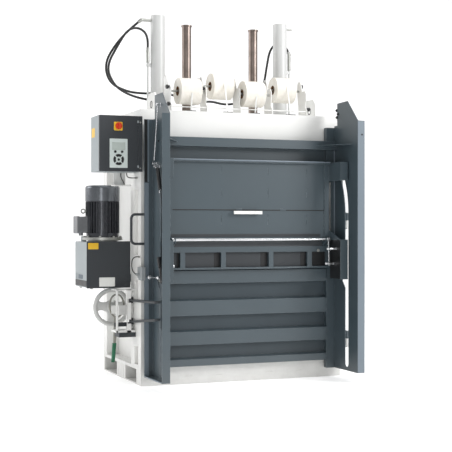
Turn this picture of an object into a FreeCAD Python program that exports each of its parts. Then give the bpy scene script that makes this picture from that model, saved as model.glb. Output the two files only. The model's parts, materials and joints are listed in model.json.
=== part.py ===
import FreeCAD, Part
import math
import os

V = FreeCAD.Vector
os.makedirs("parts", exist_ok=True)

# Vertical recycling baler, in millimetres. X to the right, Y to the back, Z up.
# The origin is the centre of the base on the floor.

# Driving dimensions of the machine.
half_width = 865.0
half_depth = 542.0
base_height = 145.0
header_bottom = 1937.0
header_top = 2150.0
sheet = 6.0
gap = 0.3
fit = 0.08

# Press chamber and platen.
chamber_half = 606.0
chamber_back = 400.0
platen_low = 1790.0
platen_high = 1870.0
strap_lanes = (-475.0, -215.0, 215.0, 475.0)
cylinder_x = 555.0
guide_x = 302.0
pipe_x = 642.0
ram_y = -15.0
cylinder_radius = 60.0
rod_radius = 35.0
guide_radius = 38.5
cylinder_top = 2985.0
guide_top = 2920.0

# Front door with its two wings.
wing_x = 782.0
wing_front = -1000.0
wing_rear = -600.0
wing_low = 78.0
wing_high = 2250.0
flange_high = 2078.0
front_flange = 63.0
rear_flange = 76.0
lane_y = -815.0
lane_half = 29.0
lane_low = 107.0
lane_bend_start = 1345.0
lane_bend = 600.0
lane_turn = 28.6
elbow_end = (-740.0, 840.0)
elbow_start = (-815.0, 755.0)
post_inner = 708.0
hinge_x = 890.0
hinge_y = -606.0
hinge_heights = (316.0, 1290.0, 1900.0)

# Loading flap.
flap_back = -612.0
flap_front = -650.0
flap_low = 909.0
flap_high = 1766.0
flap_half = 662.0
arm_inner = 705.0
arm_outer = 772.0
arm_front = -855.0
arm_heights = ((815.0, 1134.0), (1611.0, 1757.0))
rail_height = 20.0
bar_y = -694.0
bar_z = 1135.0

# Door lock on the left side.
spindle_x = -942.0
spindle_z = 580.0
wheel_y = -50.0
wheel_radius = 156.0
claw_x = -884.0
claw_y = -340.0
claw_heights = (512.0, 655.0)

# Power pack and control box on the left side.
motor_x = -1048.0
motor_y = -90.0
tank = ((-1224.0, -868.0), (-270.0, 98.0), (756.0, 1118.0))
case = ((-1211.0, -871.0), (-578.0, -350.0), (1660.0, 2087.0))
case_hinges = (1690.0, 2034.0)
keypad_x = -1061.0
keypad_z = 1798.0
pad_drop = 48.0
pad_radii = (23.0, 42.0)

# Strapping rolls on the deck.
roll_radius = 106.0
roll_length = 174.0
roll_places = ((-446.0, -450.0, 2314.0), (-133.0, -350.0, 2376.0),
               (105.0, -450.0, 2314.0), (423.0, -350.0, 2370.0))
strap_y = -522.0
rail_z = 2186.0
ferrule_low = 2591.0
bracket_places = (-600.0, -300.0, -10.5, 267.0, 580.0)


# Routes of the hoses and leads, from one end to the other.
hose_diameter = 19.0
lead_diameter = 8.0
hose_routes = {
    "hose_a": ((-722, -10, 2921), (-795, 24, 2858), (-913, 42, 2721), (-989, 62, 2571), (-944, 80, 2421),
               (-791, 86, 2358), (-672, 84, 2348), (-600, 84, 2350)),
    "hose_b": ((-642, -15, 2716), (-637, -15, 2812), (-708, -13, 2878), (-809, -12, 2862), (-893, 6, 2724),
               (-983, 34, 2545), (-914, 44, 2401), (-811, 46, 2337), (-680, 62, 2302), (-600, 62, 2294)),
    "hose_c": ((-445, 62, 2350), (-361, 62, 2342), (-250, 55, 2254), (-73, 80, 2314), (87, 81, 2279),
               (215, 79, 2307), (340, 92, 2338), (430, 98, 2395), (456, 90, 2501), (491, 121, 2640),
               (530, 144, 2787), (570, 93, 2841), (620, 27, 2826), (640, -4, 2752)),
}
lead_routes = (
    ((-955, -455, 1656), (-955, -455, 1638), (-944, -453, 1623), (-920, -450, 1617), (-880, -448, 1619)),
    ((-985, -400, 1656), (-986, -400, 1636), (-980, -400, 1612), (-966, -400, 1592), (-961, -400, 1576)),
    ((-878, -520, 1004), (-905, -527, 1006), (-934, -546, 990), (-948, -567, 958), (-950, -582, 920),
     (-941, -584, 888), (-918, -584, 872)),
)


def box(x, y, z):
    """Return a block between the low and high values of each axis."""
    return Part.makeBox(x[1] - x[0], y[1] - y[0], z[1] - z[0], V(x[0], y[0], z[0]))


def around(centre, width, depth, height):
    """Return a block centred in X and Y on a point, standing on its Z."""
    cx, cy, cz = centre
    return Part.makeBox(width, depth, height, V(cx - width / 2, cy - depth / 2, cz))


def rod(start, end, radius):
    """Return a round bar between two points."""
    axis = V(*end) - V(*start)
    return Part.makeCylinder(radius, axis.Length, V(*start), axis)


def tube(start, end, outer, inner):
    """Return a round tube between two points."""
    return rod(start, end, outer).cut(rod(start, end, inner))


def plate(points, normal, low, high):
    """Return a flat plate: an outline in the plane square to normal, extruded."""
    place = {"x": lambda a, b: V(low, a, b),
             "y": lambda a, b: V(a, low, b),
             "z": lambda a, b: V(a, b, low)}[normal]
    corners = [place(a, b) for a, b in points]
    outline = Part.makePolygon(corners + [corners[0]])
    depth = {"x": V(high - low, 0, 0), "y": V(0, high - low, 0), "z": V(0, 0, high - low)}[normal]
    return Part.Face(outline).extrude(depth)


def join(shapes):
    """Return touching or overlapping pieces as one solid."""
    shapes = list(shapes)
    return shapes[0].fuse(shapes[1:]).removeSplitter()


def lines_along(shape, direction):
    """Return the straight edges of a shape that run along a direction."""
    found = []
    for edge in shape.Edges:
        if isinstance(edge.Curve, Part.Line):
            if abs(abs(edge.Curve.Direction.dot(direction)) - 1) < 1e-6:
                found.append(edge)
    return found


def soften(shape, direction, radius):
    """Return a block with the edges along one direction rounded."""
    return shape.makeFillet(radius, lines_along(shape, direction))


def flipped(shape):
    """Return the mirror image on the other side of the machine."""
    return shape.mirror(V(0, 0, 0), V(1, 0, 0))


def save(name, *shapes):
    """Write one sub-part; several separate solids make one group."""
    shape = shapes[0] if len(shapes) == 1 else Part.makeCompound(list(shapes))
    shape.exportStep("parts/" + name + ".step")


def cord(name, route, diameter):
    """Return a tube of straight runs and tangent arcs, and print its radii and its fit."""
    points = [V(*point) for point in route]
    here = points[0]
    edges, radii = [], []
    for before, corner, after in zip(points, points[1:], points[2:]):
        arrive, leave = corner - before, after - corner
        turn = arrive.getAngle(leave)
        back = 0.45 * min(arrive.Length, leave.Length)
        arrive.normalize()
        leave.normalize()
        radius = back / math.tan(turn / 2)
        inward = (leave - arrive).normalize()
        middle = corner + inward * (radius / math.cos(turn / 2) - radius)
        start, end = corner - arrive * back, corner + leave * back
        edges += [Part.LineSegment(here, start).toShape(), Part.Arc(start, middle, end).toShape()]
        here = end
        radii.append(round(radius))
    edges.append(Part.LineSegment(here, points[-1]).toShape())
    length = sum(edge.Length for edge in edges)
    profile = Part.Wire([Part.makeCircle(diameter / 2, points[0], points[1] - points[0])])
    solid = Part.Wire(edges).makePipeShell([profile], True, False)
    share = solid.Volume / (math.pi * diameter ** 2 / 4 * length)
    print(name, "radii", radii, "length", round(length), "volume share", round(share, 4))
    return solid


def ferrule(end, inner, length, radius):
    """Return the crimped sleeve on the end of a cord, in line with its last run."""
    out = (V(*end) - V(*inner)).normalize()
    return rod(end, V(*end) + out * length, radius)


def obround(x, y, z, radius):
    """Return a vertical slot cutter with round ends, running through in X."""
    middle = box(x, (y - radius, y + radius), (z[0] + radius, z[1] - radius))
    ends = [rod((x[0], y, height), (x[1], y, height), radius)
            for height in (z[0] + radius, z[1] - radius)]
    return join([middle] + ends)


# Frame of the machine.

def base_frame():
    """Plinth with two through pockets for a fork lift and strap mouths in front."""
    body = box((-half_width, half_width), (-half_depth, half_depth), (0, base_height))
    roof = base_height - 2 * sheet
    pockets = ((-421.0, -120.0), (125.0, 492.0))
    cuts = [box((-half_width - 1, half_width + 1), run, (12, 120)) for run in pockets]
    inner = half_width - 2 * sheet
    for run in ((-536.0, -427.0), (498.0, 536.0)):
        cuts.append(box((-inner, inner), run, (-1, roof)))
    spine = 60.0
    for side in ((-inner, -spine), (spine, inner)):
        cuts.append(box(side, (-114.0, 119.0), (-1, roof)))
    mouth_z = 67.0
    for x in strap_lanes:
        mouth = box((x - 22, x + 22), (-543, -539), (mouth_z - 6, mouth_z + 6))
        ends = [rod((x + side, -543, mouth_z), (x + side, -539, mouth_z), 6) for side in (-22, 22)]
        cuts.append(join([mouth] + ends))
    for shift in (-70.0, 0.0, 70.0):
        cuts.append(box((-half_width - 1, -half_width + 2), (shift - 6, shift + 6), (8, 120)))
    return body.cut(cuts)


def side_frame():
    """Return the left side wall: two hollow columns, three pockets in one, and a set back panel."""
    run = (base_height, header_bottom)
    inside = (run[0] + sheet, run[1] - sheet)
    inner = -chamber_half - sheet
    front = box((-half_width, inner), (-half_depth, -278), run)
    front = front.cut(box((-half_width + sheet, inner + 1), (-half_depth + sheet, -278 - sheet), inside))
    rear = box((-half_width, inner), (430, half_depth - sheet), run)
    rear = rear.cut(box((-half_width + sheet, inner + 1), (430 + sheet, 530), inside))
    panel = box((-766, -760), (-278, 430), run)
    heights = ((1019, 1529), (650, 815), (151 + sheet, 301))
    pockets = [box((-half_width + sheet - 1, -half_width + 32), (-470, -369), (z[0] - 4, z[1] + 4))
               for z in heights]
    hollows = [box((-half_width - 1, -half_width + 28), (-466, -373), z) for z in heights]
    return [join([front] + pockets).cut(hollows), rear, panel]


def back_wall():
    """Rear sheet with pressed stiffening channels."""
    depth = (half_depth - sheet, half_depth)
    wall = box((-half_width, half_width), depth, (base_height, header_bottom))
    ribs = []
    for z in (420.0, 860.0, 1300.0, 1740.0):
        outline = ((-60, 0), (60, 0), (40, 24), (-40, 24))
        rib = plate([(depth[1] + out, z + up) for up, out in outline], "x", -700, 700)
        ribs.append(rib)
    return join([wall] + ribs)


def chamber_wall():
    """Left liner of the press chamber, with press-in barbs that hold the bale."""
    wall = box((-chamber_half - sheet, -chamber_half), (-536, chamber_back), (base_height, header_bottom))
    wall = wall.cut(rod((-cylinder_x, ram_y, header_bottom - 34), (-cylinder_x, ram_y, header_bottom + 1),
                        cylinder_radius + 2))
    barbs = []
    for y in (-420.0, -120.0, 180.0):
        outline = ((-chamber_half, 1120), (-chamber_half + 5, 1040), (-chamber_half, 1040))
        barbs.append(plate(outline, "y", y, y + 60))
    return join([wall] + barbs)


def chamber_back_wall():
    """Rear liner with four slots for the straps."""
    wall = box((-chamber_half - sheet, chamber_half + sheet), (chamber_back, chamber_back + sheet),
               (base_height, header_bottom))
    slots = [box((x - 18, x + 18), (chamber_back - 1, chamber_back + sheet + 1), (base_height + 12, 1100))
             for x in strap_lanes]
    return wall.cut(slots)


def chamber_floor():
    """Floor plate with four strap channels running from front to back."""
    top = base_height + 40
    floor = box((-chamber_half, chamber_half), (-536, chamber_back), (base_height, top))
    channels = [box((x - 18, x + 18), (-537, chamber_back + 1), (top - 28, top + 1)) for x in strap_lanes]
    return floor.cut(channels)


def header_box():
    """Top box: a deck and four sides, open below, bored for the rams and guides."""
    body = box((-half_width, half_width), (-half_depth, half_depth), (header_bottom, header_top))
    hollow = box((-half_width + sheet, half_width - sheet), (-half_depth + sheet, half_depth - sheet),
                 (header_bottom - 1, header_top - 10))
    cuts = [hollow]
    for side in (-1, 1):
        for x, radius in ((cylinder_x, cylinder_radius + gap), (guide_x, 48.0)):
            cuts.append(rod((side * x, ram_y, header_top - 20), (side * x, ram_y, header_top + 1), radius))
    beams = [box((-half_width + sheet, half_width - sheet), (y, y + 10), (header_bottom, header_top - 10))
             for y in (-125.0, 85.0)]
    return join([body.cut(cuts)] + beams)


def lifting_lug():
    """Left lifting plate with its eye, welded on the deck."""
    y, eye = -313.0, 2213.0
    outline = ((y - 110, header_top), (y + 110, header_top), (y + 110, 2262), (y + 70, 2305),
               (y - 70, 2305), (y - 110, 2262))
    lug = plate(outline, "x", -707, -692)
    return lug.cut(rod((-710, y, eye), (-690, y, eye), 22.5))


def cylinder_barrel(side):
    """Hydraulic cylinder: barrel, gland and deck flange as one welded piece."""
    x = side * cylinder_x
    foot = header_bottom - 30
    body = rod((x, ram_y, foot), (x, ram_y, cylinder_top), cylinder_radius)
    flange = rod((x, ram_y, header_top), (x, ram_y, header_top + 18), 96)
    body = join([body, flange])
    bore = rod((x, ram_y, foot + 50), (x, ram_y, cylinder_top - 30), rod_radius + 16)
    mouth = rod((x, ram_y, foot - 1), (x, ram_y, foot + 51), rod_radius + fit)
    bolts = [rod((x + 80 * math.cos(turn), ram_y + 80 * math.sin(turn), header_top + 17),
                 (x + 80 * math.cos(turn), ram_y + 80 * math.sin(turn), header_top + 28), 8)
             for turn in [math.radians(22.5 + 45 * step) for step in range(8)]]
    body = body.cut([bore, mouth])
    rim = body.makeChamfer(4, [edge for edge in body.Edges
                               if edge.BoundBox.ZMin > cylinder_top - 1 and edge.Length > 300])
    return join([rim] + bolts)


def oil_pipe(side, high):
    """Thin oil pipe beside a cylinder, held by a clip, from the flange up to its hose."""
    x = side * pipe_x
    pipe = rod((x, ram_y, header_top + 18), (x, ram_y, high), 8)
    clip = box(sorted((side * (cylinder_x + cylinder_radius), x)), (ram_y - 13, ram_y + 13), (2560, 2584))
    hold = clip.cut(rod((side * cylinder_x, ram_y, 2500), (side * cylinder_x, ram_y, 2600), cylinder_radius))
    return join([pipe, hold, rod((x, ram_y, 2560), (x, ram_y, 2584), 13)])


def piston_rod(side):
    """Piston and rod of one cylinder, standing on the platen."""
    x = side * cylinder_x
    shaft = rod((x, ram_y, platen_high), (x, ram_y, 2880), rod_radius)
    piston = rod((x, ram_y, 2870), (x, ram_y, 2930), rod_radius + 15.94)
    return join([shaft, piston])


def guide_tube(side):
    """Platen guide: a tube with an end cap, standing on the platen."""
    x = side * guide_x
    body = tube((x, ram_y, platen_high), (x, ram_y, guide_top - 12), guide_radius, guide_radius - 5)
    cap = rod((x, ram_y, guide_top - 12), (x, ram_y, guide_top), 45)
    button = rod((x, ram_y, guide_top), (x, ram_y, guide_top + 7), 9)
    return join([body, cap, button])


def guide_collar(side):
    """Flanged bush that guides one tube through the deck."""
    x = side * guide_x
    ring = rod((x, ram_y, header_top), (x, ram_y, header_top + 14), 72)
    neck = rod((x, ram_y, header_top - 60), (x, ram_y, header_top + 40), 47.7)
    bore = rod((x, ram_y, header_top - 61), (x, ram_y, header_top + 41), guide_radius + fit)
    return join([ring, neck]).cut(bore)


def press_platen():
    """Press plate: a ribbed weldment with four strap grooves underneath."""
    half = chamber_half - 9
    body = box((-half, half), (-530, chamber_back - 8), (platen_low, platen_high))
    cuts = [box((x - 18, x + 18), (-531, chamber_back), (platen_low - 1, platen_low + 26))
            for x in strap_lanes]
    for x in ((-500, -400), (-190, -10), (10, 190), (400, 500)):
        for y in ((-505, -120), (90, 367)):
            cuts.append(box(x, y, (platen_low + 40, platen_high + 1)))
    return body.cut(cuts)


def hose_ends():
    """Return the ports, elbows and sleeves that hold the ends of the three hoses."""
    top = rod((-cylinder_x, ram_y, 2900), (-cylinder_x, ram_y, cylinder_top), cylinder_radius)
    port = rod((-cylinder_x, ram_y, 2942), (-695, ram_y, 2942), 13).cut(top)
    elbow = Part.makeSphere(15, V(-695, ram_y, 2942))
    foot = box((-540, -500), (86, 118), (header_top, 2192))
    block = join([box((-560, -480), (46, 120), (2190, 2376)), foot])
    pieces = [join([port, elbow, sleeve("hose_a", 0, 34)]), block]
    for name, end, length in (("hose_a", -1, 42), ("hose_b", -1, 42), ("hose_c", 0, 37)):
        pieces.append(sleeve(name, end, length).cut(block))
    left = rod((-pipe_x, ram_y, ferrule_low), (-pipe_x, ram_y, 2680), 14)
    right = rod((pipe_x, ram_y, ferrule_low), (pipe_x, ram_y, 2740), 14)
    pieces.append(join([left, sleeve("hose_b", 0, 40)]))
    pieces.append(join([right, sleeve("hose_c", -1, 34)]))
    return pieces


def sleeve(name, end, length):
    """Return the sleeve on the first (0) or last (-1) end of a hose."""
    route = hose_routes[name]
    return ferrule(route[end], route[1 if end == 0 else -2], length, 14)


def right_port():
    """Plugged port near the top of the right cylinder."""
    top = rod((cylinder_x, ram_y, 2900), (cylinder_x, ram_y, cylinder_top), cylinder_radius)
    return rod((cylinder_x, ram_y, 2945), (665, ram_y, 2945), 10).cut(top)


# Strapping rolls.

def roll_brackets():
    """Five upright plates with hooked heads that carry the roll spindles."""
    plates = []
    for x in bracket_places:
        outline = ((-500, header_top), (-348, header_top), (-338, 2240), (-318, 2380), (-322, 2430),
                   (-346, 2450), (-376, 2444), (-396, 2404), (-412, 2356), (-432, 2362), (-462, 2362),
                   (-484, 2336), (-486, 2290), (-470, 2230), (-500, 2196))
        foot = box((x - 3.5, x + 30), (-470, -356), (header_top, header_top + 5))
        side = 1 if x < 500 else -1
        if side < 0:
            foot = box((x - 30, x + 3.5), (-470, -356), (header_top, header_top + 5))
        plates.append(join([plate(outline, "x", x - 3.5, x + 3.5), foot]))
    return plates


def roll_stand():
    """Return five bracket plates and the thin front rail that ties them."""
    rail = rod((-606, -490, rail_z), (586, -490, rail_z), 5)
    return [plate_piece.cut(rail) for plate_piece in roll_brackets()] + [rail]


def strap_feeder(place):
    """Guide plate on the deck with the mouth that takes in one strap."""
    x = place[0]
    body = around((x, strap_y, header_top), 80, 26, 6)
    return body.cut(around((x, strap_y, header_top - 1), 16, 8, 8))


def strap_tail(place):
    """Taut strap that leaves a roll at its front and runs down into its mouth."""
    x, y, z = place
    away, rise = y - strap_y, z - header_top
    reach = math.hypot(away, rise)
    radius = roll_radius + 0.5
    lean = math.atan2(rise, away) + math.asin(radius / reach) - math.pi / 2
    tail = box((x - 6, x + 6), (-1, 0), (0, math.sqrt(reach ** 2 - radius ** 2)))
    tail.rotate(V(0, 0, 0), V(1, 0, 0), math.degrees(lean))
    tail.translate(V(0, strap_y, header_top))
    return tail.cut(around((x, strap_y, header_top - 10), 20, 20, 10))


def strap_roll(place):
    """Wound strapping roll, one solid, with slightly dished ends."""
    x, y, z = place
    half = roll_length / 2
    body = tube((x - half, y, z), (x + half, y, z), roll_radius, 38)
    rims = [edge for edge in body.Edges if abs(edge.Length - 2 * math.pi * roll_radius) < 1]
    return body.makeChamfer(3, rims)


def roll_core(place):
    """Cardboard core that carries one roll."""
    x, y, z = place
    half = roll_length / 2 + 1.5
    return tube((x - half, y, z), (x + half, y, z), 38, 33)


def roll_spindle(place):
    """Fixed spindle with two discs inside the core and a collar at each end."""
    x, y, z = place
    ends = [place_x for place_x in bracket_places if abs(place_x - x) < 175]
    low, high = min(ends) + 3.5, max(ends) - 3.5
    shaft = rod((low, y, z), (high, y, z), 9)
    discs = [rod((x + at, y, z), (x + at + 10, y, z), 33 - fit) for at in (-70, 60)]
    return join([shaft] + discs)


def roll_knobs():
    """Black clamping knobs on the bracket plates and at the ends of the rail."""
    knobs = []
    for x, y, z, side in ((-603.5, -450, 2344, -1), (583.5, -350, 2410, 1),
                          (-603.5, -484, 2206, -1), (583.5, -484, 2206, 1),
                          (-303.5, -350, 2420, -1), (-303.5, -450, 2344, -1), (263.5, -350, 2420, -1)):
        base = rod((x, y, z), (x + side * 10, y, z), 9)
        grip = rod((x + side * 10, y, z), (x + side * 26, y, z), 16)
        knobs.append(join([base, grip]))
    return knobs


# Front door.

def wing():
    """Left wing: a folded channel with a branched roller lane and a sloping top."""
    web_outline = ((wing_rear, wing_low), (wing_front, wing_low), (wing_front, flange_high),
                   (-826, wing_high), (-650, wing_high - 4), (-650, 2065), (wing_rear, 2065))
    web = plate(web_outline, "x", -wing_x - sheet, -wing_x)
    front = box((-wing_x - front_flange, -wing_x), (wing_front, wing_front + sheet), (wing_low, flange_high))
    rear = box((-wing_x - rear_flange, -wing_x), (wing_rear - sheet, wing_rear), (wing_low, 2065))
    foot_outline = ((-wing_x, wing_rear), (-wing_x - rear_flange, wing_rear),
                    (-wing_x - front_flange, wing_front), (-wing_x, wing_front))
    foot = plate(foot_outline, "z", wing_low, wing_low + sheet)
    channel = join([web, front, rear, foot])
    through = (-wing_x - sheet - 1, -wing_x + 1)
    cuts = [lane(through), lane_elbow(through)]
    return channel.cut(cuts)


def wing_left():
    """Left wing with the catch of the door lock welded on."""
    return join([wing()] + lock_catch())


def wing_right():
    """Right wing with the three hinge leaves welded on."""
    return join([flipped(wing())] + [hinge_leaf(z) for z in hinge_heights])


def lane(through):
    """Return the cutter of the roller lane: straight up, then a long bend to the rear."""
    straight = obround(through, lane_y, (lane_low, lane_bend_start + lane_half), lane_half)
    y, z = lane_y + lane_bend, lane_bend_start
    outer = rod((through[0], y, z), (through[1], y, z), lane_bend + lane_half)
    inner = rod((through[0], y, z), (through[1], y, z), lane_bend - lane_half)
    reach = lane_bend + 4 * lane_half
    wedge = ((y, z), (y - reach, z), (y - reach, z + reach * math.tan(math.radians(lane_turn))))
    bend = outer.cut(inner).common(plate(wedge, "x", *through))
    top_y, top_z = lane_top()
    return join([straight, bend, rod((through[0], top_y, top_z), (through[1], top_y, top_z), lane_half)])


def lane_top():
    """Return the place of the upper roller at the end of the long bend."""
    turn = math.radians(lane_turn)
    return (lane_y + lane_bend * (1 - math.cos(turn)), lane_bend_start + lane_bend * math.sin(turn))


def lane_elbow(through):
    """Return the cutter of the lane's lower branch, which leaves it at a slant to the rear."""
    run = V(0, elbow_end[0] - elbow_start[0], elbow_end[1] - elbow_start[1]).normalize()
    side = V(0, run.z, -run.y) * lane_half
    corners = [(start[0] + sign * side.y, start[1] + sign * side.z)
               for start, sign in ((elbow_start, 1), (elbow_end, 1), (elbow_end, -1), (elbow_start, -1))]
    ends = [rod((through[0], y, z), (through[1], y, z), lane_half) for y, z in (elbow_start, elbow_end)]
    return join([plate(corners, "x", *through)] + ends)


def door_post():
    """Left inner post of the door, a folded channel with a window beside the flap."""
    post = box((-wing_x, -post_inner), (-604, -556), (wing_low, 2050))
    post = post.cut(box((-wing_x - 1, -post_inner - 6), (-598, -555), (wing_low + 4, 2046)))
    web = box((-wing_x, -wing_x + 6), (-604, -556), (wing_low, 2050))
    window = plate(((-712, 1190), (-748, 1140), (-748, 1600), (-712, 1600)), "y", -605, -597)
    return join([post, web]).cut(window)


def door_panel():
    """Lower bale door: a skin with four folded hat ribs and a hooked top edge."""
    skin = box((-post_inner, post_inner), (-562, -556), (142, 1086))
    pieces = [skin]
    for low, high in ((142, 212), (308, 428), (536, 669), (789, 905)):
        outline = ((-562, low), (-608, low + 4), (-608, high - 12), (-562, high))
        pieces.append(plate(outline, "x", -post_inner, post_inner))
    lip = plate(((-562, 1086), (-562, 1050), (-604, 1050), (-604, 1086)), "x", -post_inner, post_inner)
    pieces.append(lip)
    panel = join(pieces)
    cuts = []
    for low, high in ((142, 212), (308, 428), (536, 669), (789, 905)):
        outline = ((-563, low + 5), (-603, low + 9), (-603, high - 17), (-563, high - 6))
        cuts.append(plate(outline, "x", -post_inner - 1, post_inner + 1))
    return panel.cut(cuts)


def door_frame():
    """Welded frame of the door: two posts, the top beam, the panel under it and corner plates."""
    left = [door_post(), door_gusset()]
    infill = box((-post_inner, post_inner), (-566, -560), (flap_high - 4, 1868))
    return join([door_beam(), infill] + left + [flipped(piece) for piece in left])


def door_beam():
    """Top cross beam of the door, a folded channel that is open behind."""
    beam = box((-wing_x, wing_x), (-640, -560), (1866, 1937))
    return beam.cut(box((-wing_x - 1, wing_x + 1), (-634, -559), (1872, 1931)))


def door_gusset():
    """Left corner plate between the top beam and the wing."""
    outline = ((-600, -640), (-wing_x, -640), (-wing_x, -914), (-740, -880))
    return plate(outline, "z", 1895, 1901)


def door_handle():
    """Round bar handle at the outer edge of the left wing."""
    x, y = -wing_x - rear_flange, -603.0
    reach, low, high, bend = 104.0, 1106.0, 1332.0, 34.0
    path = [V(x, y, low), V(x - reach + bend, y, low), V(x - reach, y, low + bend),
            V(x - reach, y, high - bend), V(x - reach + bend, y, high), V(x, y, high)]
    turn = bend * (1 - math.sqrt(0.5))
    edges = [Part.LineSegment(path[0], path[1]).toShape(),
             Part.Arc(path[1], V(x - reach + turn, y, low + turn), path[2]).toShape(),
             Part.LineSegment(path[2], path[3]).toShape(),
             Part.Arc(path[3], V(x - reach + turn, y, high - turn), path[4]).toShape(),
             Part.LineSegment(path[4], path[5]).toShape()]
    profile = Part.Wire([Part.makeCircle(10, path[0], V(-1, 0, 0))])
    return Part.Wire(edges).makePipeShell([profile], True, False)


def hinge_leaf(z):
    """Door half of one hinge: an arm to the wing and a knuckle with its bore."""
    arm = box((wing_x + 30, hinge_x), (wing_rear - sheet - 6, wing_rear - sheet), (z + 16, z + 44))
    knuckle = rod((hinge_x, hinge_y, z), (hinge_x, hinge_y, z + 60), 24)
    bore = rod((hinge_x, hinge_y, z - 1), (hinge_x, hinge_y, z + 61), 12.06)
    return join([arm, knuckle]).cut(bore)


def hinge_bracket(z):
    """Frame half of one hinge with its pin, bolted to the front column."""
    base = box((half_width, hinge_x + 20), (-560, -430), (z - 62, z - 2))
    neck = box((hinge_x - 20, hinge_x + 20), (hinge_y, -559), (z - 62, z - 2))
    knuckle = rod((hinge_x, hinge_y, z - 62), (hinge_x, hinge_y, z - 2), 24)
    pin = rod((hinge_x, hinge_y, z - 62), (hinge_x, hinge_y, z + 66), 12)
    head = rod((hinge_x, hinge_y, z - 74), (hinge_x, hinge_y, z - 62), 17)
    return join([base, neck, knuckle, pin, head])


def lock_catch():
    """Return the pieces of the lock catch: a block with a pin between two ears."""
    low, high = claw_heights[0] - 40, claw_heights[1] + 40
    back = box((-wing_x - 30, -wing_x - sheet), (-970, -900), (low, high))
    ears = [box((-wing_x - 62, -wing_x - sheet), (-958, -922), (z, z + 10)) for z in (low, high - 10)]
    pin = rod((-833, -938, low), (-833, -938, high), 11)
    return [back] + ears + [pin]


def wing_fittings():
    """Return the rope, gas strut and interlock rod on the outside of the left wing."""
    web = -wing_x - sheet
    rope = [(web - 24, -730, 2112), (web - 24, -664, 1742)]
    strut = [(web - 24, -755, 1687), (web - 24, -858, 1500)]
    middle = tuple((a + 2 * b) / 3 for a, b in zip(strut[0], strut[1]))
    pieces = [rod(rope[0], rope[1], 3), rod(strut[0], middle, 10), rod(middle, strut[1], 5)]
    for x, y, z in rope + strut:
        pieces.append(rod((web, y, z), (x - 12, y, z), 9))
    knee = (-838, -630, 860)
    link = join([rod((-838, wing_rear - sheet, 860), knee, 7), rod(knee, (-814, -775, 848), 5),
                 Part.makeSphere(8, V(*knee))])
    cable = join([pieces[0], pieces[3], pieces[4]])
    spring = join([pieces[1], pieces[2], pieces[5], pieces[6]])
    return [cable, spring, link]


# Loading flap.

def flap_panel():
    """Flap sheet with a stepped seam, folded side edges and nine shallow pressed marks."""
    top = flap_high - rail_height
    upper = box((-flap_half, flap_half), (flap_front, flap_front + 5), (1372, top))
    lower = box((-flap_half, flap_half), (flap_front + 3, flap_front + 8), (1131, 1374))
    sides = [box((x, x + 4), (flap_front, flap_back - 2), (1131, top)) for x in (-flap_half, flap_half - 4)]
    marks = []
    for x in (-237.0, 162.0, 503.0):
        for face, low, high in ((0, 1655, 1703), (0, 1474, 1539), (3, 1255, 1335)):
            marks.append(box((x - 3, x + 3), (flap_front + face - 1, flap_front + face + 2), (low, high)))
    clips = [box((x - 25, x + 25), (flap_front - 3, flap_front + 1), (1366, 1380)) for x in (-88.0, 294.0)]
    return join([upper, lower] + sides + clips).cut(marks)


def flap_sheet():
    """Flap panel welded to its top rail."""
    return join([flap_panel(), flap_rail()])


def flap_rail():
    """Top edge of the flap, a folded tube that reaches from arm to arm."""
    low = flap_high - rail_height
    rail = box((-arm_inner, arm_inner), (-680, flap_back), (low, flap_high))
    hollow = box((-arm_inner + 4, arm_inner - 4), (-676, flap_back - 4), (low + 4, flap_high - 4))
    return rail.cut(hollow)


def flap_beam():
    """Lower beam of the flap with five framed pockets under a top rail."""
    half = arm_inner
    body = box((-half, half), (flap_front, flap_back), (flap_low, 1079))
    brow = plate(((flap_back, 1079), (flap_front, 1079), (-630, 1131), (flap_back, 1131)), "x", -half, half)
    cuts = []
    posts = (-half, -560.0, -220.0, 190.0, 532.0, half)
    for left, right in zip(posts[:-1], posts[1:]):
        cuts.append(box((left + 20, right - 20), (flap_front - 1, flap_back - 6), (flap_low + 8, 1036)))
    cuts.append(box((-half + 20, half - 20), (-644, flap_back + 1), (1044, 1072)))
    return join([body.cut(cuts), brow] + bar_bearings())


def flap_stile():
    """Left edge member of the flap between the rail and the beam."""
    front = flap_front - 6
    outline = ((-662, flap_back), (-662, front), (-arm_inner, front), (-arm_inner, flap_back))
    stile = plate(outline, "z", 1131, flap_high - rail_height)
    return stile.cut(box((-arm_inner + 6, -661), (flap_front, flap_back + 1), (1130, flap_high)))


def flap_arm(low, high, rise):
    """Left bracket that carries a guide roller: a gusset plate with front, top, foot and back plates."""
    face = flap_front - 14
    outline = ((arm_front, low), (arm_front, high), (face, high + rise), (flap_back, high + rise),
               (flap_back, low))
    inner = plate(outline, "x", -arm_inner - 6, -arm_inner)
    span = (-arm_outer, -arm_inner)
    front = box(span, (arm_front, arm_front + 6), (low, high))
    top = box(span, (arm_front, face), (high - 6, high))
    foot = box(span, (arm_front, face), (low, low + 6))
    back = box(span, (face - 6, face), (low, high))
    return join([inner, front, top, foot, back])


def guide_roller(side, place):
    """Guide roller on its stub axle, standing just inside the lane of the wing."""
    y, z = place
    axle = rod((side * (arm_inner + 6), y, z), (side * (wing_x - 2), y, z), 8)
    roller = rod((side * (arm_outer + 1), y, z), (side * (wing_x - 1), y, z), lane_half - 3)
    return join([axle, roller])


def flap_handle():
    """Pull bar across the middle of the flap on two feet."""
    bar = soften(box((-146, 96), (-690, -678), (1336, 1362)), V(1, 0, 0), 4)
    feet = [box((x, x + 22), (-679, flap_front), (1340, 1358)) for x in (-112.0, 40.0)]
    return join([bar] + feet)


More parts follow.
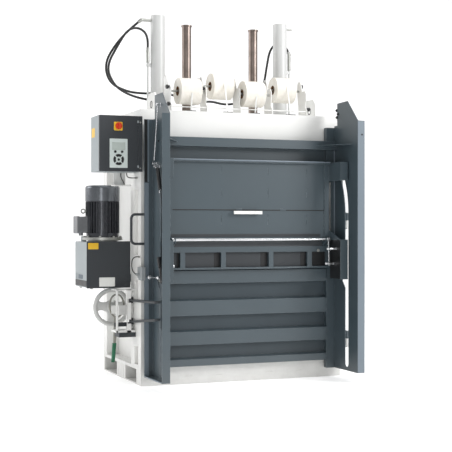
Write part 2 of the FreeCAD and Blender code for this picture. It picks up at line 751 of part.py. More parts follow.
def bar_bearings():
    """Bearing plates on the flap that carry the cross bar."""
    plates = []
    for x in (-640.0, 655.0):
        outline = ((-645, 1079), (-625, 1128), (-660, 1129), (-680, 1150), (-706, 1150), (-706, 1118))
        body = plate(outline, "x", x - 5, x + 5)
        bore = rod((x - 6, bar_y, bar_z), (x + 6, bar_y, bar_z), 11.08)
        plates.append(body.cut(bore))
    return plates


def cross_bar():
    """Cross bar of the flap lock with a lever and a ball at each end."""
    bar = rod((-668, bar_y, bar_z), (688, bar_y, bar_z), 11)
    pieces = [bar]
    for x, side in ((-668.0, 1), (688.0, -1)):
        hub = rod((x, bar_y, bar_z), (x + side * 18, bar_y, bar_z), 17)
        lever = rod((x + side * 9, bar_y, bar_z), (x + side * 9, bar_y - 12, 940), 7)
        ball = Part.makeSphere(15, V(x + side * 9, bar_y - 12, 934))
        pieces += [hub, lever, ball]
    return join(pieces)


def side_bolts():
    """Spring bolts at the two ends of the flap, two on each side."""
    bolts = []
    for side in (-1, 1):
        for z in (1060.0, 938.0):
            pin = rod((side * (arm_inner + 6), -636, z), (side * 766, -636, z), 8)
            collar = rod((side * 730, -636, z), (side * 740, -636, z), 12)
            bolts.append(join([pin, collar]))
    return bolts


# Door lock.

def lock_cage():
    """Open cage of folded plates that holds the spindle nut, on two arms."""
    depth, height = (-400.0, -262.0), (407.0, 745.0)
    bar = box((-1014, -1002), (-400, -388), height)
    right = box((-903, -895), depth, height)
    top = box((-1014, -half_width), depth, (737, 745))
    bottom = box((-1014, -half_width), depth, (407, 415))
    rear = box((-1014, -895), (-270, -262), height)
    bore = rod((spindle_x, -271, spindle_z), (spindle_x, -261, spindle_z), 14.06)
    window = box((-904, -894), (-401, -290), (470, 705))
    return join([bar, right, top, bottom, rear]).cut([bore, window])


def lock_shelf():
    """Dark tray under the cage, carried by the front column."""
    tray = box((-1000, -half_width), (-405, -278), (372, 407))
    return tray.cut(box((-994, -half_width - 6), (-399, -284), (378, 408)))


def handwheel():
    """Cast handwheel: turned rim, hub and five tapered spokes, on its spindle."""
    ring = Part.makeTorus(wheel_radius - 17, 17, V(spindle_x, wheel_y, spindle_z), V(0, 1, 0))
    pieces = [ring]
    for step in range(5):
        turn = math.radians(90 + 72 * step)
        spoke = plate(((-22, 20), (22, 20), (15, wheel_radius - 16), (-15, wheel_radius - 16)), "y", -6, 6)
        spoke.rotate(V(0, 0, 0), V(0, 1, 0), math.degrees(turn) - 90)
        spoke.translate(V(spindle_x, wheel_y, spindle_z))
        pieces.append(spoke)
    pieces.append(rod((spindle_x, wheel_y - 26, spindle_z), (spindle_x, wheel_y + 22, spindle_z), 34))
    pieces.append(rod((spindle_x, wheel_y - 250, spindle_z), (spindle_x, wheel_y, spindle_z), 14))
    pieces.append(rod((spindle_x, -352, spindle_z), (spindle_x, -300, spindle_z), 14))
    return join(pieces)


def ratchet_lever():
    """Ratchet lever: a ring on the spindle with a long flat handle."""
    y = (wheel_y - 52, wheel_y - 30)
    ring = rod((spindle_x, y[0], spindle_z), (spindle_x, y[1], spindle_z), 55)
    bore = rod((spindle_x, y[0] - 1, spindle_z), (spindle_x, y[1] + 1, spindle_z), 14.06)
    blade = plate(((spindle_x - 22, spindle_z), (spindle_x + 22, spindle_z), (spindle_x + 13, 300),
                   (spindle_x - 13, 300)), "y", y[0] + 4, y[1] - 4)
    return join([ring, blade]).cut(bore)


def lever_grip():
    """Green grip on the end of the ratchet lever."""
    grip = box((spindle_x - 17, spindle_x + 17), (wheel_y - 58, wheel_y - 24), (168, 300))
    return soften(grip, V(0, 0, 1), 10)


def lock_nut():
    """Crosshead on the spindle with the pivot of the two claws."""
    block = box((-984, -910), (-352, -312), (spindle_z - 36, spindle_z + 36))
    bore = rod((spindle_x, -353, spindle_z), (spindle_x, -311, spindle_z), 14.06)
    bridge = box((-911, -870), (-352, -328), (spindle_z - 20, spindle_z + 20))
    pivot = rod((claw_x, claw_y, claw_heights[0] - 30), (claw_x, claw_y, claw_heights[1] + 30), 9)
    return join([block, bridge, pivot]).cut(bore)


def lock_claws():
    """Two long claws on one upright tube, with hooked tips."""
    hub = rod((claw_x, claw_y, claw_heights[1] - 46), (claw_x, claw_y, claw_heights[1] + 20), 16)
    low_hub = rod((claw_x, claw_y, claw_heights[0] - 20), (claw_x, claw_y, claw_heights[0] + 44), 16)
    pieces = [hub, low_hub]
    for z in claw_heights:
        outline = ((claw_x - 10, claw_y), (claw_x + 10, claw_y), (claw_x + 10, -952), (-850, -952),
                   (-850, -966), (-866, -978), (claw_x - 10, -978))
        pieces.append(plate(outline, "z", z - 17, z + 17))
    tie = box((claw_x - 10, claw_x + 4), (-700, -660), (claw_heights[0] - 17, claw_heights[1] + 17))
    pieces.append(tie)
    bore = rod((claw_x, claw_y, claw_heights[0] - 21), (claw_x, claw_y, claw_heights[1] + 21), 9.06)
    return join(pieces).cut(bore)


def switch_box():
    """Body of the safety switch at the front corner."""
    return soften(box((-908, -868), (-612, -556), (823, 966)), V(0, 0, 1), 5)


def door_switch():
    """Grey safety switch box on a small bracket at the front corner."""
    foot = box((-880, -half_width), (-570, -500), (840, 950))
    return join([switch_box(), foot])


# Power pack.

def tank_body():
    """Oil tank shell behind its front cover, with return boss and breather."""
    x, y, z = tank
    body = soften(box(x, (y[0] + 8, y[1]), z), V(0, 1, 0), 6)
    recess = box((x[0] - 1, x[0] + 4), (-60, 60), (z[0] + 60, z[0] + 110))
    breather = rod((x[0] + 60, y[1] - 40, z[1]), (x[0] + 60, y[1] - 40, z[1] + 42), 22)
    arms = [box((x[1], -766), (yy, yy + 40), (z[0] + 40, z[0] + 90)) for yy in (-240.0, 40.0)]
    return join([body.cut(recess), breather] + arms)


def tank_cover():
    """Dark front cover of the tank with folded edges."""
    x, y, z = tank
    cover = soften(box((x[0], x[1]), (y[0], y[0] + 8), (z[0] - 4, z[1] + 4)), V(0, 1, 0), 4)
    return cover


def tank_plugs():
    """Drain plugs under the tank."""
    x, _, z = tank
    plugs = []
    for px, py in ((x[0] + 30, 40.0), (x[0] + 50, -220.0), (x[0] + 180, -120.0)):
        head = rod((px, py, z[0] - 14), (px, py, z[0]), 11)
        plugs.append(head)
    return plugs


def motor_flange():
    """Motor flange and pump bell on the tank lid."""
    bell = rod((motor_x, motor_y, tank[2][1]), (motor_x, motor_y, 1130), 120)
    flange = rod((motor_x, motor_y, 1130), (motor_x, motor_y, 1152), 160)
    bolts = []
    for step in range(8):
        turn = math.radians(22.5 + 45 * step)
        x = motor_x + 145 * math.cos(turn)
        y = motor_y + 145 * math.sin(turn)
        bolts.append(rod((x, y, 1150), (x, y, 1164), 10))
    return join([bell, flange] + bolts)


def motor_housing():
    """Motor housing with cooling fins drawn up along the body and an end shield."""
    low, high = 1152.0, 1444.0
    core = rod((motor_x, motor_y, low), (motor_x, motor_y, high), 112)
    fins = []
    count = 32
    for step in range(count):
        fin = box((105, 136), (-2.6, 2.6), (low + 34, high - 8))
        fin.rotate(V(0, 0, 0), V(0, 0, 1), step * 360.0 / count)
        fin.translate(V(motor_x, motor_y, 0))
        fins.append(fin)
    shield = rod((motor_x, motor_y, low), (motor_x, motor_y, low + 34), 130)
    pad = box((motor_x - 140, motor_x - 100), (motor_y - 58, motor_y + 58), (1190, 1320))
    rear = rod((motor_x, motor_y, high - 8), (motor_x, motor_y, high), 136)
    bore = rod((motor_x, motor_y, high - 60), (motor_x, motor_y, high + 1), 14.06)
    return join([core, shield, pad, rear] + fins).cut(bore)


def motor_cowl():
    """Fan cowl: a pressed cap with a rounded shoulder and an air grille."""
    low, high = 1444.0, 1568.0
    outer = rod((motor_x, motor_y, low), (motor_x, motor_y, high), 139)
    crown = [edge for edge in outer.Edges if edge.BoundBox.ZMin > high - 1 and edge.Length > 500]
    outer = outer.makeFillet(22, crown)
    inner = rod((motor_x, motor_y, low - 1), (motor_x, motor_y, high - 4), 135)
    rim = [edge for edge in inner.Edges if edge.BoundBox.ZMin > high - 5 and edge.Length > 500]
    inner = inner.makeFillet(19, rim)
    slots = []
    for y in range(-75, 76, 25):
        reach = math.sqrt(95.0 ** 2 - y ** 2)
        slots.append(box((motor_x - reach, motor_x + reach), (motor_y + y - 5, motor_y + y + 5),
                         (high - 10, high + 1)))
    return outer.cut([inner] + slots)


def motor_fan():
    """Motor shaft end with its radial fan under the cowl."""
    shaft = rod((motor_x, motor_y, 1390), (motor_x, motor_y, 1516), 14)
    hub = rod((motor_x, motor_y, 1458), (motor_x, motor_y, 1464), 110)
    blades = []
    for step in range(8):
        blade = box((24, 108), (-1.5, 1.5), (1463, 1508))
        blade.rotate(V(0, 0, 0), V(0, 0, 1), step * 45.0)
        blade.translate(V(motor_x, motor_y, 0))
        blades.append(blade)
    return join([shaft, hub] + blades)


def terminal_box():
    """Terminal box of the motor with its lid and cable gland."""
    body = soften(box((-1254, motor_x - 140), (motor_y - 62, motor_y + 62), (1188, 1318)), V(1, 0, 0), 10)
    lid = soften(box((-1271, -1254), (motor_y - 66, motor_y + 66), (1184, 1322)), V(1, 0, 0), 10)
    nut = rod((-1226, motor_y, 1166), (-1226, motor_y, 1188), 17)
    return join([body, lid, nut])


def motor_eye():
    """Lifting eye screwed into the motor housing."""
    x, z = motor_x - 160, 1362.0
    stem = rod((motor_x - 136, motor_y, z), (x + 14, motor_y, z), 9)
    ring = Part.makeTorus(16, 5, V(x, motor_y, z), V(0, 1, 0))
    return join([stem, ring])


# Control box.

def control_case():
    """Sheet steel case with an open front and a fixed hinge strip."""
    x, y, z = case
    shell = box(x, y, z).cut(box((x[0] + 3, x[1] - 3), (y[0] - 1, y[1] - 3), (z[0] + 3, z[1] - 3)))
    strip = box((x[1] - 34, x[1]), (y[0] - 22, y[0]), z)
    strip = strip.cut([case_hinge_rod(height - 18.3, height + 0.2, 7) for height in case_hinges])
    pieces = [shell, strip]
    for height in case_hinges:
        pieces.append(case_hinge_rod(height + 0.2, height + 18, 6.5))
        pieces.append(case_hinge_rod(height - 18, height + 18, 3))
    return join(pieces)


def case_hinge_rod(low, high, radius):
    """Return an upright round bar on the hinge line of the control box door."""
    x, y = case[0][1] - 34.5, case[1][0] - 23
    return rod((x, y, low), (x, y, high), radius)


def case_bracket():
    """Folded bracket that carries the control box on the front column, with a cable tray."""
    x, y, z = case
    back = box((x[0] + 60, -half_width - 1), (y[1], y[1] + 8), (z[0] + 20, z[1] - 60))
    wing_plate = box((-half_width - 8, -half_width), (y[1], -284), (z[0] + 20, z[1] - 60))
    duct = box((-1031, -934), (y[1], y[1] + 8), (1556, z[0] + 21))
    tray = soften(box((-1056, -906), (-440, y[1] + 8), (1556, 1564)), V(0, 0, 1), 30)
    return join([back, wing_plate, duct, tray])


def glands():
    """Return the cable glands at the ends of the thin leads."""
    column = box((-half_width, -half_width + 40), (-half_depth, -278), (base_height, header_bottom))
    ends = ((0, 0, 6, box(*case)), (0, -1, 17, column), (1, 0, 6, box(*case)), (1, -1, 14, case_bracket()),
            (2, 0, 17, column), (2, -1, 16, switch_box()))
    pieces = []
    for number, end, length, wall in ends:
        route = lead_routes[number]
        pieces.append(ferrule(route[end], route[1 if end == 0 else -2], length, 8).cut(wall))
    return pieces


def case_fittings():
    """Mounting plate with rails, contactors and terminal blocks inside the case."""
    x, y, z = case
    depth = y[1] - 3
    base = box((x[0] + 20, x[1] - 20), (depth - 6, depth), (z[0] + 20, z[1] - 20))
    pieces = [base]
    for row, height in ((z[0] + 80, 75), (z[0] + 215, 90), (z[0] + 335, 50)):
        pieces.append(box((x[0] + 30, x[1] - 50), (depth - 14, depth - 5), (row + 15, row + 45)))
        for step in range(5):
            left = x[0] + 45 + 46 * step
            pieces.append(box((left, left + 40), (depth - 70, depth - 13), (row, row + height)))
    return join(pieces)


def case_door():
    """Control box door: a folded leaf with hinge knuckles and a switch bore."""
    x, y, z = case
    leaf = soften(box((x[0], x[1] - 35), (y[0] - 22, y[0] - 1), z), V(0, 1, 0), 3)
    leaf = leaf.cut(box((x[0] + 3, x[1] - 38), (y[0] - 18, y[0]), (z[0] + 3, z[1] - 3)))
    bore = rod((keypad_x, y[0] - 23, 2007), (keypad_x, y[0] - 17, 2007), 15.06)
    cuts = [key_column(cap, y[0] - 23, y[0] - 17, 0.5) for cap in key_caps()]
    cuts.append(pad_arcs(y[0] - 23, y[0] - 17, 0.5))
    cuts += [case_hinge_rod(height, height + 18.3, 7) for height in case_hinges]
    knuckles = [case_hinge_rod(height - 18, height, 6.5) for height in case_hinges]
    leaf = join([leaf.cut(cuts + [bore])] + knuckles)
    return leaf.cut([case_hinge_rod(height - 19, height + 1, 3 + fit / 2) for height in case_hinges])


def key_caps():
    """Return the outline boxes of the keys: name, centre, width and height."""
    middle = keypad_z - pad_drop
    top = keypad_z + 12
    return [("left", keypad_x - 27, top, 19, 19), ("right", keypad_x + 27, top, 19, 19),
            ("pad", keypad_x, middle, 18, 18)]


def key_column(cap, front, back, grow):
    """Return a rounded column with the outline of one key."""
    _, x, z, width, height = cap
    column = box((x - width / 2 - grow, x + width / 2 + grow), (front, back),
                 (z - height / 2 - grow, z + height / 2 + grow))
    return soften(column, V(0, 1, 0), min(width, height) / 2 - 0.5)


def pad_arcs(front, back, grow):
    """Return the four curved direction keys: a ring parted by two crossed bars."""
    x, z = keypad_x, keypad_z - pad_drop
    ring = rod((x, front, z), (x, back, z), pad_radii[1] + grow)
    ring = ring.cut(rod((x, front, z), (x, back, z), pad_radii[0] - grow))
    bars = []
    for turn in (45, 135):
        bar = box((-60, 60), (front - 1, back + 1), (grow - 5, 5 - grow))
        bar.rotate(V(0, 0, 0), V(0, 1, 0), turn)
        bar.translate(V(x, 0, z))
        bars.append(bar)
    return ring.cut(bars)


def keypad_plate():
    """Light plate of the operating panel, bored for its keys."""
    y = case[1][0] - 22
    body = soften(box((-1132, -991), (y - 3, y), (1687, 1909)), V(0, 1, 0), 4)
    cuts = [key_column(cap, y - 4, y + 1, 0.5) for cap in key_caps()] + [pad_arcs(y - 4, y + 1, 0.5)]
    window = box((-1113, -1009), (y - 4, y - 1), (1822, 1882))
    return body.cut(cuts + [window])


def panel_key(word):
    """A push key: caps through the panel on one moulded foot behind the door skin."""
    y = case[1][0] - 22
    caps = [cap for cap in key_caps() if cap[0] == word]
    columns = [key_column(cap, y - 5, y + 5, 0) for cap in caps]
    reach = 12.5
    if word == "pad":
        columns.append(pad_arcs(y - 5, y + 5, 0))
        reach = pad_radii[1] + 3
    _, x, z, _, _ = caps[0]
    foot = box((x - reach, x + reach), (y + 4 + gap, y + 7), (z - reach, z + reach))
    return join(columns + [foot])


def main_switch():
    """Red rotary main switch with a grip bar on its disc."""
    y = case[1][0] - 22
    shaft = rod((keypad_x, y - 6, 2007), (keypad_x, y + 10, 2007), 15)
    disc = rod((keypad_x, y - 10, 2007), (keypad_x, y - 4, 2007), 27)
    grip = soften(box((keypad_x - 8, keypad_x + 8), (y - 32, y - 9), (1984, 2030)), V(0, 1, 0), 5)
    return join([shaft, disc, grip])


def build():
    """Build every sub-part and write its file."""
    left_frame = side_frame()
    save("base_frame", base_frame())
    save("side_frame_left", *left_frame)
    save("side_frame_right", *[flipped(piece) for piece in left_frame])
    save("back_wall", back_wall())
    liner = chamber_wall()
    save("chamber_liner", liner, flipped(liner), chamber_back_wall(), chamber_floor())
    save("header_box", header_box(), lifting_lug(), flipped(lifting_lug()))
    pipes = [oil_pipe(side, ferrule_low) for side in (-1, 1)]
    save("cylinders", cylinder_barrel(-1), cylinder_barrel(1), *pipes)
    save("piston_rods", piston_rod(-1), piston_rod(1))
    save("guide_tubes", guide_tube(-1), guide_tube(1))
    save("guide_collars", guide_collar(-1), guide_collar(1))
    save("press_platen", press_platen())
    save("roll_stand", *(roll_stand() + [strap_tail(place) for place in roll_places]))
    save("strap_fittings", *([strap_feeder(place) for place in roll_places] + roll_knobs()))
    save("roll_spindles", *[roll_spindle(place) for place in roll_places])
    for number, place in enumerate(roll_places, start=1):
        save("strap_roll_%d" % number, strap_roll(place), roll_core(place))
    save("wing_left", wing_left())
    save("wing_right", wing_right())
    save("wing_fittings", *wing_fittings())
    save("door_frame", door_frame())
    save("door_panel", door_panel())
    save("door_handle", door_handle())
    save("hinge_brackets", *[hinge_bracket(z) for z in hinge_heights])
    save("flap_panel", flap_sheet())
    save("flap_beam", flap_beam())
    sides = [flap_stile(), flap_arm(*arm_heights[1], 0), flap_arm(*arm_heights[0], 70)]
    save("flap_sides", *(sides + [flipped(piece) for piece in sides]))
    rollers = [guide_roller(side, place) for side in (-1, 1) for place in (lane_top(), elbow_end)]
    save("flap_pins", *(rollers + side_bolts()))
    save("flap_handle", flap_handle())
    save("cross_bar", cross_bar())
    save("lock_cage", lock_cage())
    save("lock_shelf", lock_shelf())
    save("handwheel", handwheel())
    save("ratchet_lever", ratchet_lever())
    save("lever_grip", lever_grip())
    save("lock_nut", lock_nut())
    save("lock_claws", lock_claws())
    save("door_switch", door_switch())
    save("tank_body", tank_body())
    save("tank_cover", tank_cover())
    save("motor_flange", motor_flange())
    save("motor_housing", motor_housing())
    save("motor_cowl", motor_cowl())
    save("motor_fan", motor_fan())
    save("terminal_box", terminal_box())
    save("fittings", *(tank_plugs() + [motor_eye(), right_port()] + glands() + hose_ends()))
    for name, route in hose_routes.items():
        save(name, cord(name, route, hose_diameter))
    leads = [cord("lead", route, lead_diameter) for route in lead_routes]
    save("leads", *leads)
    save("control_case", control_case())
    save("case_bracket", case_bracket())
    save("case_fittings", case_fittings())
    save("case_door", case_door())
    save("keypad_plate", keypad_plate())
    save("main_switch", main_switch())
    for word in ("left", "right", "pad"):
        save("key_" + word, panel_key(word))


build()
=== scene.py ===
import json
import math
import bmesh
import bpy
import numpy as np
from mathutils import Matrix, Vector


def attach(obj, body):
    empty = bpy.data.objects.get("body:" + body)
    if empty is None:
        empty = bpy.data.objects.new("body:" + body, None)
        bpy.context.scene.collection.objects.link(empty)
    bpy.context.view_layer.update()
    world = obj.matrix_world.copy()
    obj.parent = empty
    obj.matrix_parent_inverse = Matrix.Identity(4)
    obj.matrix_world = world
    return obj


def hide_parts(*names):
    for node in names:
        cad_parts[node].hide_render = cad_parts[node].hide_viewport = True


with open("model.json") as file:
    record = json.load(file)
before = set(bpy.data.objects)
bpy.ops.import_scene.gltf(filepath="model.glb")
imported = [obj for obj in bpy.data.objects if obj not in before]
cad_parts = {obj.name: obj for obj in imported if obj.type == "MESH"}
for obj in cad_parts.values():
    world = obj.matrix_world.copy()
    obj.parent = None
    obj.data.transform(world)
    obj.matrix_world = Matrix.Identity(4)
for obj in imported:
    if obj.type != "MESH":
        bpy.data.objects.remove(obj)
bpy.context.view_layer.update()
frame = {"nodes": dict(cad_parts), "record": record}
print("frame:", len(frame["nodes"]), "nodes")

# Camera, as the photograph was taken: level, from the front and well to the left of the machine.
cameraLook = {"place": (-3.438, -8.789, 1.243), "turn": 21.7, "lens": 88.6}
cameraData = bpy.data.cameras.new("photoCamera")
cameraData.lens = cameraLook["lens"]
camera = bpy.data.objects.new("photoCamera", cameraData)
camera.location = cameraLook["place"]
camera.rotation_euler = (math.radians(90), 0, -math.radians(cameraLook["turn"]))
bpy.context.collection.objects.link(camera)
bpy.context.scene.camera = camera
bpy.context.scene.view_settings.view_transform = "Standard"


# A colour written as sRGB hex, in the linear values that Blender mixes.
def fromHex(text):
    parts = [int(text[i:i + 2], 16) / 255 for i in (1, 3, 5)]
    return tuple(p / 12.92 if p <= 0.04045 else ((p + 0.055) / 1.055) ** 2.4 for p in parts) + (1.0,)


# Adds one node: settings are its properties or plain socket values, links its wired sockets.
def addNode(material, kind, settings={}, links={}):
    tree = material.node_tree
    node = tree.nodes.new("ShaderNode" + kind)
    for name, value in settings.items():
        if isinstance(name, str) and hasattr(node, name):
            setattr(node, name, value)
        else:
            node.inputs[name].default_value = value
    for name, source in links.items():
        tree.links.new(source, node.inputs[name])
    return node


def newMaterial(name):
    material = bpy.data.materials.new(name)
    material.use_nodes = True
    material.node_tree.nodes.clear()
    return material, addNode(material, "TexCoord").outputs["Object"]


# A soft cloudy pattern, whose patches have one size.
def noise(material, place, size, detail, rough=0.5):
    settings = {"Scale": 1 / size, "Detail": detail, "Roughness": rough}
    return addNode(material, "TexNoise", settings, {"Vector": place})


# Carries one span of values over to another.
def mapped(material, value, fromMin, fromMax, toMin=0.0, toMax=1.0):
    settings = {"From Min": fromMin, "From Max": fromMax, "To Min": toMin, "To Max": toMax}
    return addNode(material, "MapRange", settings, {"Value": value}).outputs[0]


# Two tones of one finish, which drift into each other in soft patches of one size.
def patchyColour(material, place, look, size, start, amount, detail=4.0):
    cloud = noise(material, place, size, detail).outputs["Fac"]
    tone = mapped(material, cloud, start, 0.7, 0.0, amount)
    tones = {"data_type": "RGBA", 6: fromHex(look["colour"]), 7: fromHex(look["shade"])}
    return addNode(material, "Mix", tones, {0: tone}).outputs[2], cloud


# Roughness that swings a little below and above its usual value as a pattern does.
def unevenGloss(material, pattern, rough, below, above, start=0.0, end=1.0):
    return mapped(material, pattern, start, end, rough - below, rough + above)


# Joins colour, roughness and a fine relief, over edges softened by the rounded normal.
def surface(material, settings, colour, gloss, relief, strength, depth, rounded):
    bump = addNode(material, "Bump", {"Strength": strength, "Distance": depth},
                   {"Height": relief.outputs["Fac"], "Normal": rounded.outputs[0]})
    shader = addNode(material, "BsdfPrincipled", settings,
                     {"Base Color": colour, "Roughness": gloss, "Normal": bump.outputs[0]})
    addNode(material, "OutputMaterial", {}, {0: shader.outputs[0]})
    return material


# Powder coat: polyester paint baked on sheet steel. It has a satin sheen, a fine orange peel
# and edges of another tone in patches: wear on most coats, and a painted highlight with some wear
# on the door's grey. It grows darker towards the floor, in patches.
def powderCoat(name, look):
    material, place = newMaterial(name)
    paint, cloud = patchyColour(material, place, look, look["cloudSize"], 0.35, look["cloud"])
    # Edges: where the rounded normal leaves the flat one, broken up in blotches. On the door's grey this is a
    # painted highlight with some wear, on the other coats wear.
    rounded = addNode(material, "Bevel", {"samples": 4, "Radius": look["edge"]})
    flat = addNode(material, "NewGeometry").outputs["Normal"]
    turn = addNode(material, "VectorMath", {"operation": "DOT_PRODUCT"}, {0: rounded.outputs[0], 1: flat})
    edge = mapped(material, turn.outputs["Value"], 0.985, 0.80, 0.0, look["edgeWearAndHighlight"])
    edgePatchNoise = noise(material, place, look["edgePatchSize"], 3.0).outputs["Fac"]
    edgePatches = mapped(material, edgePatchNoise, 0.42, 0.62)
    edgeWearAndHighlight = addNode(material, "Math", {"operation": "MULTIPLY"}, {0: edge, 1: edgePatches}).outputs[0]
    edgeWearAndHighlightColour = addNode(material, "Mix", {"data_type": "RGBA", 7: fromHex(look["edgeWearAndHighlightColour"])}, {0: edgeWearAndHighlight, 6: paint})
    # Darker towards the floor: strongest at the floor, gone at the given height, and in patches.
    height = addNode(material, "SeparateXYZ", {}, {0: place}).outputs["Z"]
    low = mapped(material, height, look["floorDarkeningTop"], 0.0, 0.0, look["floorDarkening"])
    patches = noise(material, place, look["floorDarkeningSize"], 6.0, 0.65).outputs["Fac"]
    floorDarkening = addNode(material, "Math", {"operation": "MULTIPLY"}, {0: low, 1: patches})
    colour = addNode(material, "Mix", {"data_type": "RGBA", 7: fromHex(look["floorDarkeningColour"])},
                     {0: floorDarkening.outputs[0], 6: edgeWearAndHighlightColour.outputs[2]})
    gloss = unevenGloss(material, cloud, look["rough"], 0.05, 0.10)
    # Orange peel is about 2 mm across; drawn at 4 to 7 mm so that it shows.
    peel = noise(material, place, look["peelSize"], 2.0)
    return surface(material, {"IOR": 1.5, "Specular IOR Level": look["sheen"]}, colour.outputs[2], gloss,
                   peel, look["peel"], 0.001, rounded)


# Steel and light metal: lines left by tool, mould or die, and faint stains of oil. The lines are
# 0.1 to 0.5 mm apart on the real parts; drawn at 0.6 mm and more so that they show.
def workedMetal(name, look):
    material, place = newMaterial(name)
    stretch = {"Scale": tuple(1 / size for size in look["line"])}
    line = noise(material, addNode(material, "Mapping", stretch, {"Vector": place}).outputs[0], 1.0, 5.0, 0.6)
    stained = patchyColour(material, place, look, look["stainSize"], 0.4, look["stain"])[0]
    lined = addNode(material, "Mix", {"data_type": "RGBA", "blend_type": "MULTIPLY", 0: look["contrast"]},
                    {6: stained, 7: line.outputs["Color"]})
    gloss = unevenGloss(material, line.outputs["Fac"], look["rough"], 0.06, 0.10, 0.3, 0.7)
    rounded = addNode(material, "Bevel", {"samples": 4, "Radius": 0.0015})
    return surface(material, {"Metallic": look["metal"]}, lined.outputs[2], gloss, line, look["bump"], 0.0006,
                   rounded)


# Moulded plastic or rubber: one colour through and through, with the fine grain of its mould.
# The grain is about 0.5 mm; drawn at 2.5 mm so that it shows.
def moulded(name, look, glow=0.0):
    material, place = newMaterial(name)
    colour, cloud = patchyColour(material, place, look, look["cloudSize"], 0.35, look["cloud"], detail=3.0)
    grain = noise(material, place, look["grainSize"], 2.0)
    gloss = unevenGloss(material, cloud, look["rough"], 0.06, 0.08)
    rounded = addNode(material, "Bevel", {"samples": 4, "Radius": 0.001})
    settings = {"IOR": look["ior"], "Subsurface Weight": look["deep"], "Subsurface Radius": (0.004,) * 3,
                "Emission Color": fromHex("#FFFFFF"), "Emission Strength": glow}
    return surface(material, settings, colour, gloss, grain, look["grain"], 0.0005, rounded)


coats = {
    # Satin white powder on the frame: clean and even, greyer near the floor.
    "whitePowderCoat": {"colour": "#ECECEA", "shade": "#E4E4E1", "edgeWearAndHighlightColour": "#CFCFCC", "rough": 0.36,
                        "floorDarkening": 0.45},
    # Sprayed enamel on the cylinders: smoother than powder, with a clear upright highlight.
    "cylinderEnamel": {"colour": "#CFD0CF", "shade": "#C8C9C8", "edgeWearAndHighlightColour": "#B9BAB9", "rough": 0.26,
                       "floorDarkening": 0.0},
    # Blue grey powder on the door: more sheen than the white, and a painted highlight with some wear on its
    # edges.
    "greyPowderCoat": {"colour": "#424F56", "shade": "#3B484F", "edgeWearAndHighlightColour": "#8B979F", "rough": 0.34,
                       "floorDarkening": 0.16, "sheen": 0.8, "edge": 0.004, "edgeWearAndHighlight": 0.8},
    # Fine textured powder on box and tank fronts: dull, with a peel that can be seen.
    "darkTexturedCoat": {"colour": "#35393D", "shade": "#303438", "edgeWearAndHighlightColour": "#5D6267", "rough": 0.50,
                         "floorDarkening": 0.0, "peel": 0.25, "peelSize": 0.004},
    # Light grey powder on the sides of box and tank: pale and even.
    "lightGreyPowderCoat": {"colour": "#9CA4A7", "shade": "#969EA1", "edgeWearAndHighlightColour": "#A3A9A9", "rough": 0.40,
                            "floorDarkening": 0.1},
    # Painted shade inside the fork pockets: a flat, warm grey, darker in patches towards the floor.
    "forkPocketShadeCoat": {"colour": "#827C75", "shade": "#746E67", "edgeWearAndHighlightColour": "#9A958E", "rough": 0.6,
                       "floorDarkening": 0.2},
    # Painted shade between the door's ribs: a darker, duller copy of the blue grey.
    "ribRecessShadeCoat": {"colour": "#37434A", "shade": "#313C43", "edgeWearAndHighlightColour": "#59656C", "rough": 0.42,
                       "floorDarkening": 0.2},
    # Paler grey powder: trim on the right wing's front flange, and painted highlight on folds and flanges.
    "paleTrimAndHighlightCoat": {"colour": "#75808A", "shade": "#6E7982", "edgeWearAndHighlightColour": "#A9B1B6", "rough": 0.30,
                       "floorDarkening": 0.05},
}
coatDefaults = {"cloudSize": 0.45, "cloud": 0.8, "edge": 0.0022, "edgeWearAndHighlight": 0.35, "edgePatchSize": 0.035,
                "floorDarkeningTop": 0.35, "floorDarkeningSize": 0.12, "floorDarkeningColour": "#8E8A83", "peelSize": 0.007, "peel": 0.05,
                "sheen": 0.5}
finishes = {name: powderCoat(name, coatDefaults | look) for name, look in coats.items()}

metals = {
    # Forged ratchet lever: dull grey scale, hardly a mirror.
    "forgedSteel": {"colour": "#9B9A92", "shade": "#7F7E77", "line": (0.004, 0.004, 0.03), "rough": 0.42,
                    "bump": 0.1, "metal": 0.4},
    # Ground bar: bright, with rings round it that draw its highlight out along its length.
    "groundSteelBar": {"colour": "#DCDEE0", "shade": "#C6C9CC", "line": (0.0006, 0.02, 0.02), "rough": 0.22,
                       "bump": 0.06, "metal": 1.0},
    # Zinc plating on screws and spindles: pale, slightly blotchy and soft in its shine.
    "zincPlatedSteel": {"colour": "#B9BAB6", "shade": "#9D9E99", "line": (0.004, 0.004, 0.004),
                        "rough": 0.38, "bump": 0.08, "metal": 0.9},
    # Drawn guide tube under a film of grease: brownish, with long upright streaks.
    "greasedSteelTube": {"colour": "#93867F", "shade": "#756A63", "line": (0.003, 0.003, 0.25),
                         "rough": 0.34, "bump": 0.08, "metal": 0.85, "stain": 0.9},
    # Sand cast aluminium of the handwheel: chalky and grainy.
    "sandCastAluminium": {"colour": "#D8D8D6", "shade": "#C4C4C2", "line": (0.003, 0.003, 0.003),
                          "rough": 0.5, "bump": 0.3, "metal": 0.2},
    # Gloss painted cast iron of the motor: dark fins with broken glints.
    "paintedCastIron": {"colour": "#53555A", "shade": "#3C3E43", "line": (0.008, 0.008, 0.05),
                        "rough": 0.19, "bump": 0.35, "metal": 0.45, "stainSize": 0.03},
    # Pressed steel cowl over the fan: smooth, with one soft upright highlight.
    "pressedCowlSteel": {"colour": "#74787D", "shade": "#686C71", "line": (0.05, 0.05, 0.4), "rough": 0.21,
                         "bump": 0.01, "metal": 0.7, "contrast": 0.05},
    # Die cast terminal box: finer grained than the sand casting, and greyer.
    "castTerminalAluminium": {"colour": "#85878A", "shade": "#6B6D70", "line": (0.004, 0.004, 0.004),
                              "rough": 0.34, "bump": 0.1, "metal": 0.6},
}
metalDefaults = {"stainSize": 0.09, "stain": 0.6, "contrast": 0.12}
finishes.update({name: workedMetal(name, metalDefaults | look) for name, look in metals.items()})

